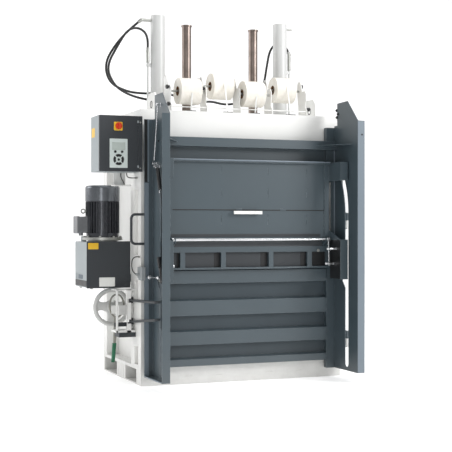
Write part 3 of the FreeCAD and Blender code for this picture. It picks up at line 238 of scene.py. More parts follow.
plastics = {
    # Moulded nylon, black: buffers, bushes and seals, with a wide soft shine.
    "blackNylon": {"colour": "#17181A", "shade": "#101113", "rough": 0.42, "ior": 1.53},
    # Moulded ABS: the glossy red knob, its yellow plate and the plain grey door switch.
    "redAbs": {"colour": "#D9401C", "shade": "#C8371A", "rough": 0.28, "ior": 1.54},
    "yellowAbs": {"colour": "#F0C02A", "shade": "#E4B320", "rough": 0.34, "ior": 1.54},
    "greySwitchAbs": {"colour": "#8F9496", "shade": "#84898B", "rough": 0.45, "ior": 1.54},
    # Printed polyester film over the keys: pale and faintly green, with a silky shine.
    "keypadPolyesterFilm": {"colour": "#D2DCD9", "shade": "#CAD4D1", "rough": 0.38, "ior": 1.57},
    # Polished acrylic: the pale display pane is almost a mirror, the sight glass a dark window.
    "displayAcrylic": {"colour": "#BCC6C1", "shade": "#B2BCB7", "rough": 0.12, "ior": 1.49, "grain": 0.0},
    "sightGlassAcrylic": {"colour": "#33495A", "shade": "#2B3F4E", "rough": 0.34, "ior": 1.49, "grain": 0.0},
    # Dipped vinyl on the lever: deep green with a dull shine.
    "greenVinylGrip": {"colour": "#1B6B4A", "shade": "#155A3E", "rough": 0.48, "ior": 1.53},
    # Extruded rubber cover of the hoses: black, with a rough skin.
    "hydraulicHoseRubber": {"colour": "#1B1C1D", "shade": "#111213", "rough": 0.40, "ior": 1.52,
                            "grain": 0.2},
    # Drawn polypropylene strap: creamy white, and light sinks into it a little.
    "polypropyleneStrap": {"colour": "#F2EEE6", "shade": "#E8E2D6", "rough": 0.32, "ior": 1.49, "deep": 0.15},
    # Wound cardboard cores: brown, dull and fibrous.
    "woundCardboard": {"colour": "#7A5A40", "shade": "#654831", "rough": 0.8, "ior": 1.4, "grain": 0.4,
                       "grainSize": 0.004},
    # Printed film of the rating plate: plain white with a slight shine.
    "printedPlateFilm": {"colour": "#E9EAE6", "shade": "#DFE0DC", "rough": 0.30, "ior": 1.5},
}
plasticDefaults = {"cloudSize": 0.06, "cloud": 0.7, "grain": 0.08, "grainSize": 0.0025, "deep": 0.0}
finishes.update({name: moulded(name, plasticDefaults | look) for name, look in plastics.items()})
print("materials:", len(finishes))

# Every node takes its slot's finish, apart from a few that are made another way.
slotFinish = {
    "body_white": "whitePowderCoat", "door_grey": "greyPowderCoat", "dark_grey": "darkTexturedCoat",
    "light_grey": "lightGreyPowderCoat", "motor_black": "paintedCastIron", "bright_steel": "groundSteelBar",
    "raw_steel": "zincPlatedSteel", "guide_steel": "greasedSteelTube", "strap_white": "polypropyleneStrap",
    "black_plastic": "blackNylon", "switch_red": "redAbs", "panel_light": "keypadPolyesterFilm",
    "grip_green": "greenVinylGrip", "hose_black": "hydraulicHoseRubber", "switch_grey": "greySwitchAbs",
}
nodeFinish = {
    "cylinders": "cylinderEnamel", "motor_cowl": "pressedCowlSteel", "motor_flange": "zincPlatedSteel",
    "terminal_box": "castTerminalAluminium", "door_handle": "darkTexturedCoat",
    "lock_nut": "sandCastAluminium", "handwheel": "sandCastAluminium", "lock_cage": "whitePowderCoat",
}
for part in frame["record"]["subparts"]:
    node = frame["nodes"][part["node"]]
    finish = finishes[nodeFinish.get(part["node"], slotFinish[part["material_slot"]])]
    if not node.material_slots:
        node.data.materials.append(finish)
    for slot in node.material_slots:
        slot.material = finish


# Faces of a grid of points: each joins a point to its neighbours along u and v.
def gridFaces(nu, nv, wrapU=False, wrapV=True):
    u = np.arange(nu if wrapU else nu - 1)[:, None]
    v = np.arange(nv if wrapV else nv - 1)[None, :]
    uNext, vNext = (u + 1) % nu, (v + 1) % nv
    return np.stack([u * nv + v, uNext * nv + v, uNext * nv + vNext, u * nv + vNext], -1).reshape(-1, 4)


# Puts a surface into a mesh. Closed shells have their doubles merged and then face outwards.
def newObject(name, points, faces, finish, sharp, closed=True):
    mesh = bpy.data.meshes.new(name)
    mesh.from_pydata(points.reshape(-1, 3).tolist(), [], faces.tolist())
    if closed:
        work = bmesh.new()
        work.from_mesh(mesh)
        bmesh.ops.remove_doubles(work, verts=work.verts, dist=1e-6)
        bmesh.ops.dissolve_degenerate(work, dist=1e-7, edges=work.edges)
        bmesh.ops.recalc_face_normals(work, faces=work.faces)
        work.to_mesh(mesh)
        work.free()
    mesh.shade_smooth()
    mesh.set_sharp_from_angle(angle=math.radians(sharp))
    mesh.materials.append(finishes[finish])
    piece = bpy.data.objects.new(name, mesh)
    bpy.context.collection.objects.link(piece)
    return piece


# A piece of the machine. Tubes are grids closed round v, loops are closed along u as well.
def makePiece(name, body, finish, tubes, loops=(), sharp=40):
    points, faces, first = [], [], 0
    for grid, isLoop in [(tube, False) for tube in tubes] + [(loop, True) for loop in loops]:
        points.append(grid.reshape(-1, 3))
        faces.append(gridFaces(grid.shape[0], grid.shape[1], isLoop) + first)
        first += len(points[-1])
    piece = newObject(name, np.concatenate(points), np.concatenate(faces), finish, sharp)
    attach(piece, body)
    return piece


# Angles of a full turn in equal steps.
def fullTurn(steps):
    return np.linspace(0, 2 * np.pi, steps, endpoint=False)


# Two directions that stand square to an axis and to each other.
def crossAxes(axis):
    side = np.cross(axis, (0.0, 0.0, 1.0) if abs(axis[2]) < 0.9 else (1.0, 0.0, 0.0))
    side = side / np.linalg.norm(side)
    return side, np.cross(axis, side)


# A sine or cosine pushed towards its two ends, for a section between an oval and a rectangle.
def squarer(wave, power):
    return np.sign(wave) * np.abs(wave) ** power


# Closes a tube of rings with the middle of its first and of its last ring.
def closeEnds(rings):
    middle = rings.mean(1, keepdims=True)
    steps = rings.shape[1]
    return np.concatenate([np.repeat(middle[:1], steps, 1), rings, np.repeat(middle[-1:], steps, 1)])


# Round bodies: a profile of radius and height turned about an axis, with its low end at a place.
def turned(profile, place, axis, steps=32):
    axis = np.array(axis, float) / np.linalg.norm(axis)
    side, other = crossAxes(axis)
    angle = fullTurn(steps)
    ring = np.cos(angle)[:, None] * side + np.sin(angle)[:, None] * other
    profile = np.array(profile, float)
    return np.array(place) + profile[:, 0, None, None] * ring + profile[:, 1, None, None] * axis


# A turned bar between two points; the heights of its profile are shares of its length.
def roundBar(start, end, profile, steps=28):
    start, end = np.array(start), np.array(end)
    reach = np.linalg.norm(end - start)
    return turned([(r, h * reach) for r, h in profile], start, end - start, steps)


# Profile of a bar with chamfered ends; soft is the share of its length that both take.
def endedBar(radius, soft=0.08):
    chamfer, bevel = radius * 0.8, soft * 0.4
    return [(0.0, 0.0), (chamfer, 0.0), (radius, bevel), (radius, 1 - bevel), (chamfer, 1.0), (0.0, 1.0)]


# Plates: a rounded rectangle with a soft rim, closed at the back. It faces the front, or the left
# side when its X and Y change places. Its place is the middle of its back.
def plateGrid(centre, size, corner, rim=0.0006, toLeft=False):
    width, height, depth = size
    steps = 48
    angle = fullTurn(steps)
    cx = np.sign(np.cos(angle + 1e-9)) * (width / 2 - corner)
    cz = np.sign(np.sin(angle + 1e-9)) * (height / 2 - corner)
    rings = []
    for inset, front in ((corner, 0.0), (0.0, 0.0), (0.0, depth - rim), (rim * 0.3, depth - rim * 0.3),
                         (rim, depth), (corner, depth)):
        reach = corner - inset
        rings.append(np.stack([cx + reach * np.cos(angle), np.full(steps, -front),
                               cz + reach * np.sin(angle)], -1))
    rings.insert(0, np.zeros((steps, 3)))
    rings.append(np.tile((0.0, -depth, 0.0), (steps, 1)))
    local = np.array(rings)
    if toLeft:
        local = np.stack([local[..., 1], local[..., 0], local[..., 2]], -1)
    return np.array(centre) + local


# A plate as deep as it needs to be, given by its two far corners.
def boxGrid(low, high, soft=0.0015):
    width, depth, height = np.array(high) - np.array(low)
    back = ((low[0] + high[0]) / 2, high[1], (low[2] + high[2]) / 2)
    return plateGrid(back, (width, height, depth), soft, soft * 0.8)


# A closed section of Y and Z, carried along X.
def slabAlong(section, left, right):
    section = np.array(section)
    return closeEnds(np.array([np.column_stack([np.full(len(section), x), section]) for x in (left, right)]))


# Floor and backdrop: a flat floor that bends up into a wall far behind, one profile drawn sideways.
# A little glow of its own keeps it near white under the machine.
floorLook = {"back": 9.0, "bend": 3.0, "front": -16.0, "half": 22.0, "top": 14.0, "glow": 0.42,
             "colour": "#F4F4F4", "shade": "#F2F2F2", "rough": 0.55, "ior": 1.45, "grain": 0.0}


def floorSheet(look):
    angle = np.linspace(0, np.pi / 2, 16)
    wall = look["back"] + look["bend"]
    y = np.concatenate([[look["front"]], look["back"] + look["bend"] * np.sin(angle), [wall]])
    z = np.concatenate([[0.0], look["bend"] * (1 - np.cos(angle)), [look["top"]]])
    x = np.linspace(-look["half"], look["half"], 3)
    return np.stack(np.broadcast_arrays(x[None, :], y[:, None], z[:, None]), -1)


finishes["studioFloor"] = moulded("studioFloor", plasticDefaults | floorLook, glow=floorLook["glow"])
sheet = floorSheet(floorLook)
sheetFaces = gridFaces(sheet.shape[0], sheet.shape[1], wrapV=False)
floor = newObject("studioFloor", sheet, sheetFaces, "studioFloor", 60, closed=False)

# Light: a pale room, a wide soft box overhead, the key box from the right, which leaves the
# insides of the right wing dark, one behind on the left and a tall strip beside the camera, which
# draws upright glints on the motor and the cylinders.
lights = {
    "overheadBox": {"place": (0.5, -1.5, 7.5), "aim": (0, 0, 0.6), "size": (7.0, 7.0), "power": 310},
    "keyBox": {"place": (5.2, -6.0, 4.6), "aim": (0, 0, 1.5), "size": (3.0, 3.0), "power": 350},
    "backLeftBox": {"place": (-7.5, 3.2, 4.2), "aim": (-0.9, 0, 1.6), "size": (3.5, 3.5), "power": 190},
    "tallStrip": {"place": (-4.6, -8.4, 2.0), "aim": (-1.0, 0, 1.6), "size": (0.8, 3.6), "power": 60},
}
roomLight = 0.38
for name, look in lights.items():
    lampData = bpy.data.lights.new(name, "AREA")
    lampData.energy = look["power"]
    lampData.shape = "RECTANGLE"
    lampData.size, lampData.size_y = look["size"]
    lamp = bpy.data.objects.new(name, lampData)
    lamp.location = look["place"]
    aim = Vector(look["aim"]) - Vector(look["place"])
    lamp.rotation_euler = aim.to_track_quat("-Z", "Y").to_euler()
    bpy.context.collection.objects.link(lamp)
world = bpy.data.worlds.new("studioRoom")
world.use_nodes = True
room = world.node_tree.nodes["Background"]
room.inputs["Color"].default_value = fromHex("#FFFFFF")
room.inputs["Strength"].default_value = roomLight
bpy.context.scene.world = world
print("stage and light")

# Hoses and leads: each is a smooth spline through the room between its two ends. Routes are in mm.
cordLooks = {
    "hoseLeftTop": {"node": "hose_a", "diameter": 0.019, "length": 0.949, "stiffness": "stiff", "route": (
        (-722, -10, 2921), (-795, 24, 2858), (-913, 42, 2721), (-989, 62, 2571), (-944, 80, 2421),
        (-791, 86, 2358), (-672, 84, 2348), (-600, 84, 2350))},
    "hoseLeftLow": {"node": "hose_b", "diameter": 0.019, "length": 1.127, "stiffness": "stiff", "route": (
        (-642, -15, 2716), (-637, -15, 2812), (-708, -13, 2878), (-809, -12, 2862), (-893, 6, 2724),
        (-983, 34, 2545), (-914, 44, 2401), (-811, 46, 2337), (-680, 62, 2302), (-600, 62, 2294))},
    "hoseRight": {"node": "hose_c", "diameter": 0.019, "length": 1.566, "stiffness": "stiff", "route": (
        (-445, 62, 2350), (-361, 62, 2342), (-250, 55, 2254), (-73, 80, 2314), (87, 81, 2279),
        (215, 79, 2307), (340, 92, 2338), (430, 98, 2395), (456, 90, 2501), (491, 121, 2640),
        (530, 144, 2787), (570, 93, 2841), (620, 27, 2826), (640, -4, 2752))},
    "caseLead": {"node": "leads", "diameter": 0.008, "length": 0.100, "stiffness": "limp", "route": (
        (-955, -455, 1656), (-955, -455, 1638), (-944, -453, 1623), (-920, -450, 1617), (-880, -448, 1619))},
    "trayLead": {"node": "leads", "diameter": 0.008, "length": 0.085, "stiffness": "limp", "route": (
        (-985, -400, 1656), (-986, -400, 1636), (-980, -400, 1612), (-966, -400, 1592), (-961, -400, 1576))},
    "switchLead": {"node": "leads", "diameter": 0.008, "length": 0.206, "stiffness": "limp", "route": (
        (-878, -520, 1004), (-905, -527, 1006), (-934, -546, 990), (-948, -567, 958), (-950, -582, 920),
        (-941, -584, 888), (-918, -584, 872))},
}
for name, look in cordLooks.items():
    curve = bpy.data.curves.new(name, "CURVE")
    curve.dimensions = "3D"
    curve.bevel_depth = look["diameter"] / 2
    curve.bevel_resolution = 5
    curve.use_fill_caps = True
    line = curve.splines.new("NURBS")
    route = np.array(look["route"]) / 1000.0
    line.points.add(len(route) - 1)
    line.points.foreach_set("co", np.column_stack([route, np.ones(len(route))]).ravel())
    line.order_u = 3
    line.use_endpoint_u = True
    line.resolution_u = 16
    curve.materials.append(finishes["hydraulicHoseRubber"])
    hose = bpy.data.objects.new(name, curve)
    bpy.context.collection.objects.link(hose)
    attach(hose, "machine")
    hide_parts(look["node"])
print("cords:", len(cordLooks))

# Strapping rolls, each on a cardboard core. Places are in mm.
rollLook = {"radius": 0.1055, "bore": 0.0382, "half": 0.087, "strap": 0.0118, "groove": 0.0009,
            "grooveWidth": 0.07, "flush": 0.0004, "layer": 0.0032, "lip": 0.0006, "bulge": 0.0008,
            "steps": 144, "core": 0.0378, "coreBore": 0.0330, "coreHalf": 0.0885, "chamfer": 0.0008,
            "places": ((-446, -450, 2314), (-133, -350, 2376), (105, -450, 2314), (423, -350, 2370))}


# A loop round the roll's section is turned about the spindle. The wound turns show as shallow
# grooves, one strap width apart, that climb with the angle like a screw, and on the two ends the
# layers show as fine steps of a spiral. The wound face bulges by less than a millimetre.
def woundRoll(look, place, phase):
    outer, half = look["radius"], look["half"]
    along = np.linspace(-half, half, 181)
    down = np.linspace(outer, look["bore"], 40)[1:]
    face, end = np.ones(len(along)), np.ones(len(down))
    radius = np.concatenate([outer * face, down, down[::-1]])
    x = np.concatenate([along, half * end, -half * end])[:, None]
    isBody = np.concatenate([face, 0 * end, 0 * end])[:, None]
    angle = fullTurn(look["steps"])[None, :]
    turn = (x / look["strap"] + angle / (2 * np.pi) + phase) % 1.0
    dip = np.exp(-(np.minimum(turn, 1 - turn) / look["grooveWidth"]) ** 2) * look["groove"]
    layer = (radius[:, None] / look["layer"] + angle / (2 * np.pi)) % 1.0
    lip = np.exp(-(np.minimum(layer, 1 - layer) / 0.2) ** 2) * look["lip"]
    bulge = look["bulge"] * np.sin(3 * angle + 9 * x / half + phase * 7)
    r = radius[:, None] - isBody * (dip - bulge * 0.5 + look["flush"])
    ends = (1 - isBody) * lip * -np.sign(x)
    return np.stack([place[0] + x + ends, place[1] + r * np.cos(angle), place[2] + r * np.sin(angle)], -1)


# The core is a tube with chamfered rims, turned about the spindle.
def rollCore(look, place):
    chamfer, length = look["chamfer"], 2 * look["coreHalf"]
    rim, bore = look["core"], look["coreBore"]
    profile = [(bore, 0), (rim - chamfer, 0), (rim, chamfer), (rim, length - chamfer),
               (rim - chamfer, length), (bore, length)]
    return turned(profile, place - (look["coreHalf"], 0, 0), (1, 0, 0), 48)


for number, place in enumerate(rollLook["places"], 1):
    centre = np.array(place) / 1000.0
    winding = woundRoll(rollLook, centre, 0.37 * number)
    roll = makePiece("strapWinding%d" % number, "roll_%d" % number, "polypropyleneStrap", [],
                     loops=[winding], sharp=50)
    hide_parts("strap_roll_%d" % number)
    makePiece("rollCore%d" % number, "roll_%d" % number, "woundCardboard", [],
              loops=[rollCore(rollLook, centre)])
print("strapping rolls")

# Counterbalance on the left wing: a laid wire rope, a black gas spring with its bright rod, a
# black buffer below it, studs on the wing and the chrome link of the door switch.
balanceLook = {
    "rope": {"start": (-0.812, -0.800, 2.160), "end": (-0.812, -0.711, 1.742), "radius": 0.0055, "lay": 0.045,
             "strands": 6, "steps": 160, "around": 36},
    "spring": {"start": (-0.812, -0.792, 1.677), "end": (-0.812, -0.868, 1.500), "radius": 0.0145,
               "rod": 0.005, "shares": (0.90, 0.89)},
    "buffer": {"points": [(-0.810, -0.816, 1.006), (-0.810, -0.852, 0.932), (-0.810, -0.899, 0.814)],
               "radii": (0.016, 0.014)},
    "studs": {"x": (-0.7885, -0.826), "places": [(-0.800, 2.160), (-0.700, 1.722), (-0.735, 1.700),
                                                 (-0.780, 1.690), (-0.868, 1.500)]},
    "link": {"points": [(-0.826, -0.606, 0.852), (-0.826, -0.648, 0.850), (-0.812, -0.828, 0.852)],
             "hub": 0.0165, "bar": 0.0048, "ball": 0.0135},
}


# The rope's radius swells with each of its six strands, and the strands turn as they climb.
def laidRope(look):
    start, end = np.array(look["start"]), np.array(look["end"])
    t = np.linspace(0, 1, look["steps"])[:, None]
    angle = fullTurn(look["around"])[None, :]
    reach = np.linalg.norm(end - start)
    twist = 2 * np.pi * t * reach / look["lay"]
    radius = look["radius"] * (0.80 + 0.20 * np.abs(np.cos(look["strands"] / 2 * (angle - twist))))
    radius = radius * np.where((t == 0) | (t == 1), 0.02, 1.0)
    side, other = crossAxes((end - start) / reach)
    ring = np.cos(angle)[..., None] * side + np.sin(angle)[..., None] * other
    return start + (end - start) * t[..., None] + radius[..., None] * ring


# A stud: a broad foot, a neck that carries the eye, and a collar with a chamfered end.
def wingStuds(look):
    profile = [(0.0, 0.0), (0.013, 0.0), (0.013, 0.12), (0.008, 0.13), (0.008, 0.72), (0.0115, 0.74),
               (0.0115, 0.94), (0.009, 1.0), (0.0, 1.0)]
    root, tip = look["x"]
    return [roundBar((root, y, z), (tip, y, z), profile) for y, z in look["places"]]


# The link: a hub, and a bar whose radius runs straight and then follows a circle to end in a ball.
def switchLink(look):
    first, middle, last = look["points"]
    angle = np.linspace(0.35, np.pi, 12)
    profile = [(0.0, 0.0), (look["bar"], 0.0), (look["bar"], 0.82)]
    profile += [(look["ball"] * math.sin(a), 0.90 - 0.09 * math.cos(a)) for a in angle]
    return [roundBar(first, middle, endedBar(look["hub"])), roundBar(middle, last, profile)]


rope = makePiece("balanceRope", "door", "groundSteelBar", [laidRope(balanceLook["rope"])],
                 sharp=70)
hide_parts("wing_fittings")
spring, buffer = balanceLook["spring"], balanceLook["buffer"]
springStart, springEnd = np.array(spring["start"]), np.array(spring["end"])
bodyEnd, rodStart = (springStart + (springEnd - springStart) * share for share in spring["shares"])
bufferBars = [roundBar(start, end, endedBar(radius))
              for start, end, radius in zip(buffer["points"], buffer["points"][1:], buffer["radii"])]
springBody = makePiece("gasSpringBody", "door", "blackNylon",
                       [roundBar(springStart, bodyEnd, endedBar(spring["radius"]))] + bufferBars)
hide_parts("wing_fittings")
brightBars = wingStuds(balanceLook["studs"]) + [roundBar(rodStart, springEnd, endedBar(spring["rod"]))]
studs = makePiece("balanceStuds", "door", "groundSteelBar",
                  brightBars + switchLink(balanceLook["link"]))
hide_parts("wing_fittings")
print("counterbalance")

# Screws that the photograph shows: for each its place, the way its head points, and its size.
screwLook = {
    "wingBolts": {"body": "door", "finish": "blackNylon", "places": [
        ((0.782, -0.643, 2.190), (-1, 0, 0), 0.009), ((0.782, -0.664, 2.160), (-1, 0, 0), 0.009),
        ((0.782, -0.646, 2.133), (-1, 0, 0), 0.009), ((0.821, -1.0012, 1.967), (0, -1, 0), 0.005),
        ((-0.788, -0.748, 1.890), (-1, 0, 0), 0.006)]},
    "hingeBolts": {"body": "machine", "finish": "zincPlatedSteel", "places": [
        ((0.910, y, z), (1, 0, 0), 0.011) for z in (0.284, 1.258, 1.868) for y in (-0.475, -0.515)]},
    "caseBolts": {"body": "machine", "finish": "zincPlatedSteel", "places": [
        ((-0.865, -0.300, 1.72), (-1, 0, 0), 0.008), ((-0.865, -0.300, 1.98), (-1, 0, 0), 0.008),
        ((-0.888, -0.6018, 1.686), (0, -1, 0), 0.0045), ((-0.888, -0.6018, 2.038), (0, -1, 0), 0.0045)]},
    "flapBolt": {"body": "flap", "finish": "zincPlatedSteel", "places": [
        ((0.609, -0.6505, 1.045), (0, -1, 0), 0.0085)]},
}


# A hexagon head on a round washer: rings of a profile, where those of the head reach out to the
# six flats, half the width across flats divided by the cosine of the angle from the flat's middle.
def hexScrew(place, axis, size):
    profile = np.array([(1.45, 0.0), (1.45, 0.22), (1.36, 0.28), (1.0, 0.28), (1.0, 0.90), (0.86, 1.0),
                        (0.0, 1.0)])
    isHead = np.array([0, 0, 0, 1, 1, 0, 0])[:, None]
    angle = fullTurn(12)
    flats = math.cos(math.pi / 6) / np.cos((angle % (math.pi / 3)) - math.pi / 6)
    reach = profile[:, :1] * (isHead * flats + (1 - isHead)) * size
    side, other = crossAxes(axis)
    ring = np.cos(angle)[:, None] * side + np.sin(angle)[:, None] * other
    return np.array(place) + reach[..., None] * ring + profile[:, 1, None, None] * size * np.array(axis)


for name, look in screwLook.items():
    makePiece(name, look["body"], look["finish"], [hexScrew(*place) for place in look["places"]],
              sharp=25)
print("screws")

# Handwheel: a round rim, a stepped hub on its spindle and three broad spokes.
wheelLook = {"x": -0.942, "y": 0.010, "z": 0.580, "rim": 0.139, "section": 0.0185, "flatness": 0.92,
             "spokes": (174, 6, 270), "waist": 0.034, "root": 0.052, "thick": 0.0075, "inner": 0.020,
             "spindle": 0.0139, "farEnd": -0.352, "farLength": 0.052}


# Rim: a slightly flattened circle carried round the wheel.
def wheelRim(look):
    big, small = fullTurn(96)[:, None], fullTurn(28)[None, :]
    reach = look["rim"] + look["section"] * np.cos(small)
    depth = look["section"] * look["flatness"] * np.sin(small)
    return np.stack([look["x"] + reach * np.cos(big), look["y"] + depth + 0 * big,
                     look["z"] + reach * np.sin(big)], -1)


# Spoke: an oval section carried outwards; its half width swells like a cosine where it meets hub
# and rim.
def wheelSpoke(look, degrees):
    t, small = np.linspace(0, 1, 24)[:, None], fullTurn(24)[None, :]
    half = look["waist"] + (look["root"] - look["waist"]) * (0.5 + 0.5 * np.cos(2 * np.pi * t)) ** 1.5
    reach = look["inner"] + (look["rim"] - look["inner"]) * t + 0 * small
    across = half * squarer(np.cos(small), 0.7)
    depth = look["thick"] * squarer(np.sin(small), 0.7) + 0 * t
    c, s = math.cos(math.radians(degrees)), math.sin(math.radians(degrees))
    return closeEnds(np.stack([look["x"] + reach * c - across * s, look["y"] + depth,
                               look["z"] + reach * s + across * c], -1))


# Hub with its spindle in front, and the spindle's far end beyond the nut.
def wheelHub(look):
    bar = look["spindle"]
    profile = [(0.0, -0.312), (bar, -0.312), (bar, -0.040), (0.024, -0.040), (0.027, -0.036),
               (0.027, -0.020), (0.041, -0.016), (0.043, 0.012), (0.039, 0.016), (0.022, 0.018),
               (0.020, 0.026), (0.0, 0.027)]
    far = [(0.0, 0.0), (bar, 0.0), (bar, look["farLength"]), (0.0, look["farLength"])]
    return [turned(profile, (look["x"], look["y"], look["z"]), (0, 1, 0), 40),
            turned(far, (look["x"], look["farEnd"], look["z"]), (0, 1, 0), 40)]


wheelTubes = wheelHub(wheelLook) + [wheelSpoke(wheelLook, degrees) for degrees in wheelLook["spokes"]]
wheel = makePiece("castHandwheel", "handwheel", "sandCastAluminium", wheelTubes,
                  loops=[wheelRim(wheelLook)], sharp=45)
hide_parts("handwheel")
print("handwheel")

# Dark bushes in the two lifting eyes: a thin ring with rounded edges on both faces of each lug.
eyeLook = {"y": -0.313, "z": 2.213, "faces": ((0.707, 1), (0.692, -1)), "profile": [
    (0.0228, 0.0), (0.0300, 0.0), (0.0300, 0.0012), (0.0282, 0.0018), (0.0240, 0.0018), (0.0228, 0.0010),
    (0.0228, 0.0)]}
bushes = [turned(eyeLook["profile"], (side * face, eyeLook["y"], eyeLook["z"]), (way * side, 0, 0), 40)
          for side in (-1, 1) for face, way in eyeLook["faces"]]
makePiece("liftingEyeBushes", "machine", "blackNylon", bushes)
print("lifting eyes")

# Lock cage: an open frame round the spindle nut, so that the wheel shows through it. Each bar is
# given by its two far corners. The front upright is in three lengths, with two slots between them
# that the claws swing through, and a thin neck joins them on the left.
cageBars = {
    "post": ((-1.022, -0.400, 0.407), (-1.006, -0.388, 0.745)),
    "uprightLow": ((-0.934, -0.400, 0.407), (-0.900, -0.392, 0.477)),
    "uprightMiddle": ((-0.934, -0.400, 0.509), (-0.900, -0.392, 0.641)),
    "uprightHigh": ((-0.934, -0.400, 0.673), (-0.900, -0.392, 0.745)),
    "neck": ((-0.934, -0.400, 0.470), (-0.930, -0.392, 0.680), 0.001),
    "rearWeb": ((-0.903, -0.290, 0.407), (-0.896, -0.262, 0.745)),
    "headWeb": ((-0.903, -0.394, 0.705), (-0.896, -0.262, 0.745)),
    "footWeb": ((-0.903, -0.394, 0.407), (-0.896, -0.262, 0.470)),
    "head": ((-1.022, -0.400, 0.737), (-0.866, -0.262, 0.745)),
    "foot": ((-1.022, -0.400, 0.407), (-0.866, -0.262, 0.425)),
    "rail": ((-1.022, -0.270, 0.548), (-0.866, -0.262, 0.612)),
}
cage = makePiece("openLockCage", "machine", "whitePowderCoat",
                 [boxGrid(*bar) for bar in cageBars.values()], sharp=50)
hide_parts("lock_cage")
guideBar = ((-1.004, -0.290, 0.446), (-0.866, -0.272, 0.478))
makePiece("lockGuideBar", "machine", "darkTexturedCoat", [boxGrid(*guideBar)], sharp=50)

# Claws: slim bars that rise a little towards their hooked tips, each on a collar of the tube.
clawLook = {"x": -0.884, "y": -0.340, "tip": -0.965, "heights": ((0.487, 0.548), (0.655, 0.678)),
            "radius": 0.0105, "hook": (0.008, 0.036, 0.0095), "collar": (0.022, 0.030, 0.016)}


def slimClaw(look, low, high):
    x, y, tip = look["x"], look["y"], look["tip"]
    back, length, hookRadius = look["hook"]
    below, above, collarRadius = look["collar"]
    return [roundBar((x, y, low), (x, tip, high), endedBar(look["radius"], 0.02)),
            roundBar((x, tip + back, high), (x + length, tip + back, high), endedBar(hookRadius)),
            roundBar((x, y, low - below), (x, y, low + above), endedBar(collarRadius))]


clawBars = [bar for low, high in clawLook["heights"] for bar in slimClaw(clawLook, low, high)]
claws = makePiece("slimClaws", "lock_claws", "darkTexturedCoat", clawBars, sharp=50)
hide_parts("lock_claws")
print("lock")

# Ratchet lever: a flat loop round the hub, and below it a handle that narrows to its vinyl grip.
# Handle and grip are given by the X and Z of their two ends and their half widths there.
leverLook = {
    "x": -0.930, "y": -0.091, "z": 0.597, "half": 0.060, "rise": 0.092, "band": 0.0065, "thick": 0.010,
    "handle": {"ends": ((-0.934, 0.508), (-0.949, 0.292)), "halves": (0.018, 0.0115), "thick": 0.007},
    "grip": {"ends": ((-0.949, 0.296), (-0.961, 0.142)), "halves": (0.0165, 0.0135), "thick": 0.0145},
}


# Loop: a squarish section carried round an oval, so that its band keeps one width.
def flatLoop(look):
    big, small = fullTurn(72)[:, None], fullTurn(20)[None, :]
    outward = look["band"] * squarer(np.cos(small), 0.5)
    along = look["thick"] * squarer(np.sin(small), 0.5)
    return np.stack([look["x"] + (look["half"] + outward) * np.cos(big), look["y"] + along + 0 * big,
                     look["z"] + (look["rise"] + outward) * np.sin(big)], -1)


# Handle: a squarish section carried straight from end to end, its half width changing evenly.
def flatHandle(y, look):
    (startX, startZ), (endX, endZ) = look["ends"]
    t, small = np.linspace(0, 1, 16)[:, None], fullTurn(24)[None, :]
    half = look["halves"][0] + (look["halves"][1] - look["halves"][0]) * t
    across = half * squarer(np.cos(small), 0.6)
    depth = look["thick"] * squarer(np.sin(small), 0.6) + 0 * t
    return closeEnds(np.stack([startX + (endX - startX) * t + across, y + depth,
                               startZ + (endZ - startZ) * t + 0 * small], -1))


lever = makePiece("ratchetLoop", "ratchet_lever", "forgedSteel",
                  [flatHandle(leverLook["y"], leverLook["handle"])], loops=[flatLoop(leverLook)])
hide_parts("ratchet_lever")
grip = makePiece("vinylGrip", "ratchet_lever", "greenVinylGrip",
                 [flatHandle(leverLook["y"], leverLook["grip"])])
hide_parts("lever_grip")
print("ratchet lever")

# Door switch: a short grey body on its foot, with the nut of its lead.
switchLook = {"body": ((-0.893, -0.650, 0.826), (-0.861, -0.566, 0.928), 0.004),
              "foot": ((-0.880, -0.612, 0.840), (-0.865, -0.500, 0.925), 0.002),
              "nut": ((-0.892, -0.584, 0.872), (-0.921, -0.584, 0.872), 0.0085)}
nutStart, nutEnd, nutRadius = switchLook["nut"]
switchParts = [boxGrid(*switchLook["body"]), boxGrid(*switchLook["foot"]),
               roundBar(nutStart, nutEnd, endedBar(nutRadius))]
switch = makePiece("doorSwitchBody", "machine", "greySwitchAbs", switchParts, sharp=50)
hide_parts("door_switch")
print("door switch")

# Chrome bolts at the two ends of the flap: turned pins with a collar and a nut. The left pair stays
# on the flap, the right pair goes with the levers of the cross bar.
pinLook = {"profile": [(0.0, 0.0), (0.006, 0.0), (0.0085, 0.06), (0.0085, 0.30), (0.0125, 0.32),
                       (0.0125, 0.52), (0.0085, 0.54), (0.0085, 0.84), (0.0130, 0.86), (0.0130, 0.99),
                       (0.0, 1.0)],
           "flap": [((-0.6765, -0.662, z), (-0.7045, -0.662, z)) for z in (1.060, 0.938)],
           "cross_bar": [((0.609, -0.802, 1.060), (0.7035, -0.802, 1.060)),
                         ((0.622, -0.748, 0.940), (0.7035, -0.748, 0.940))]}
for name, body in (("flapBoltPins", "flap"), ("leverPins", "cross_bar")):
    pins = [roundBar(start, end, pinLook["profile"]) for start, end in pinLook[body]]
    makePiece(name, body, "groundSteelBar", pins)
print("flap bolts")
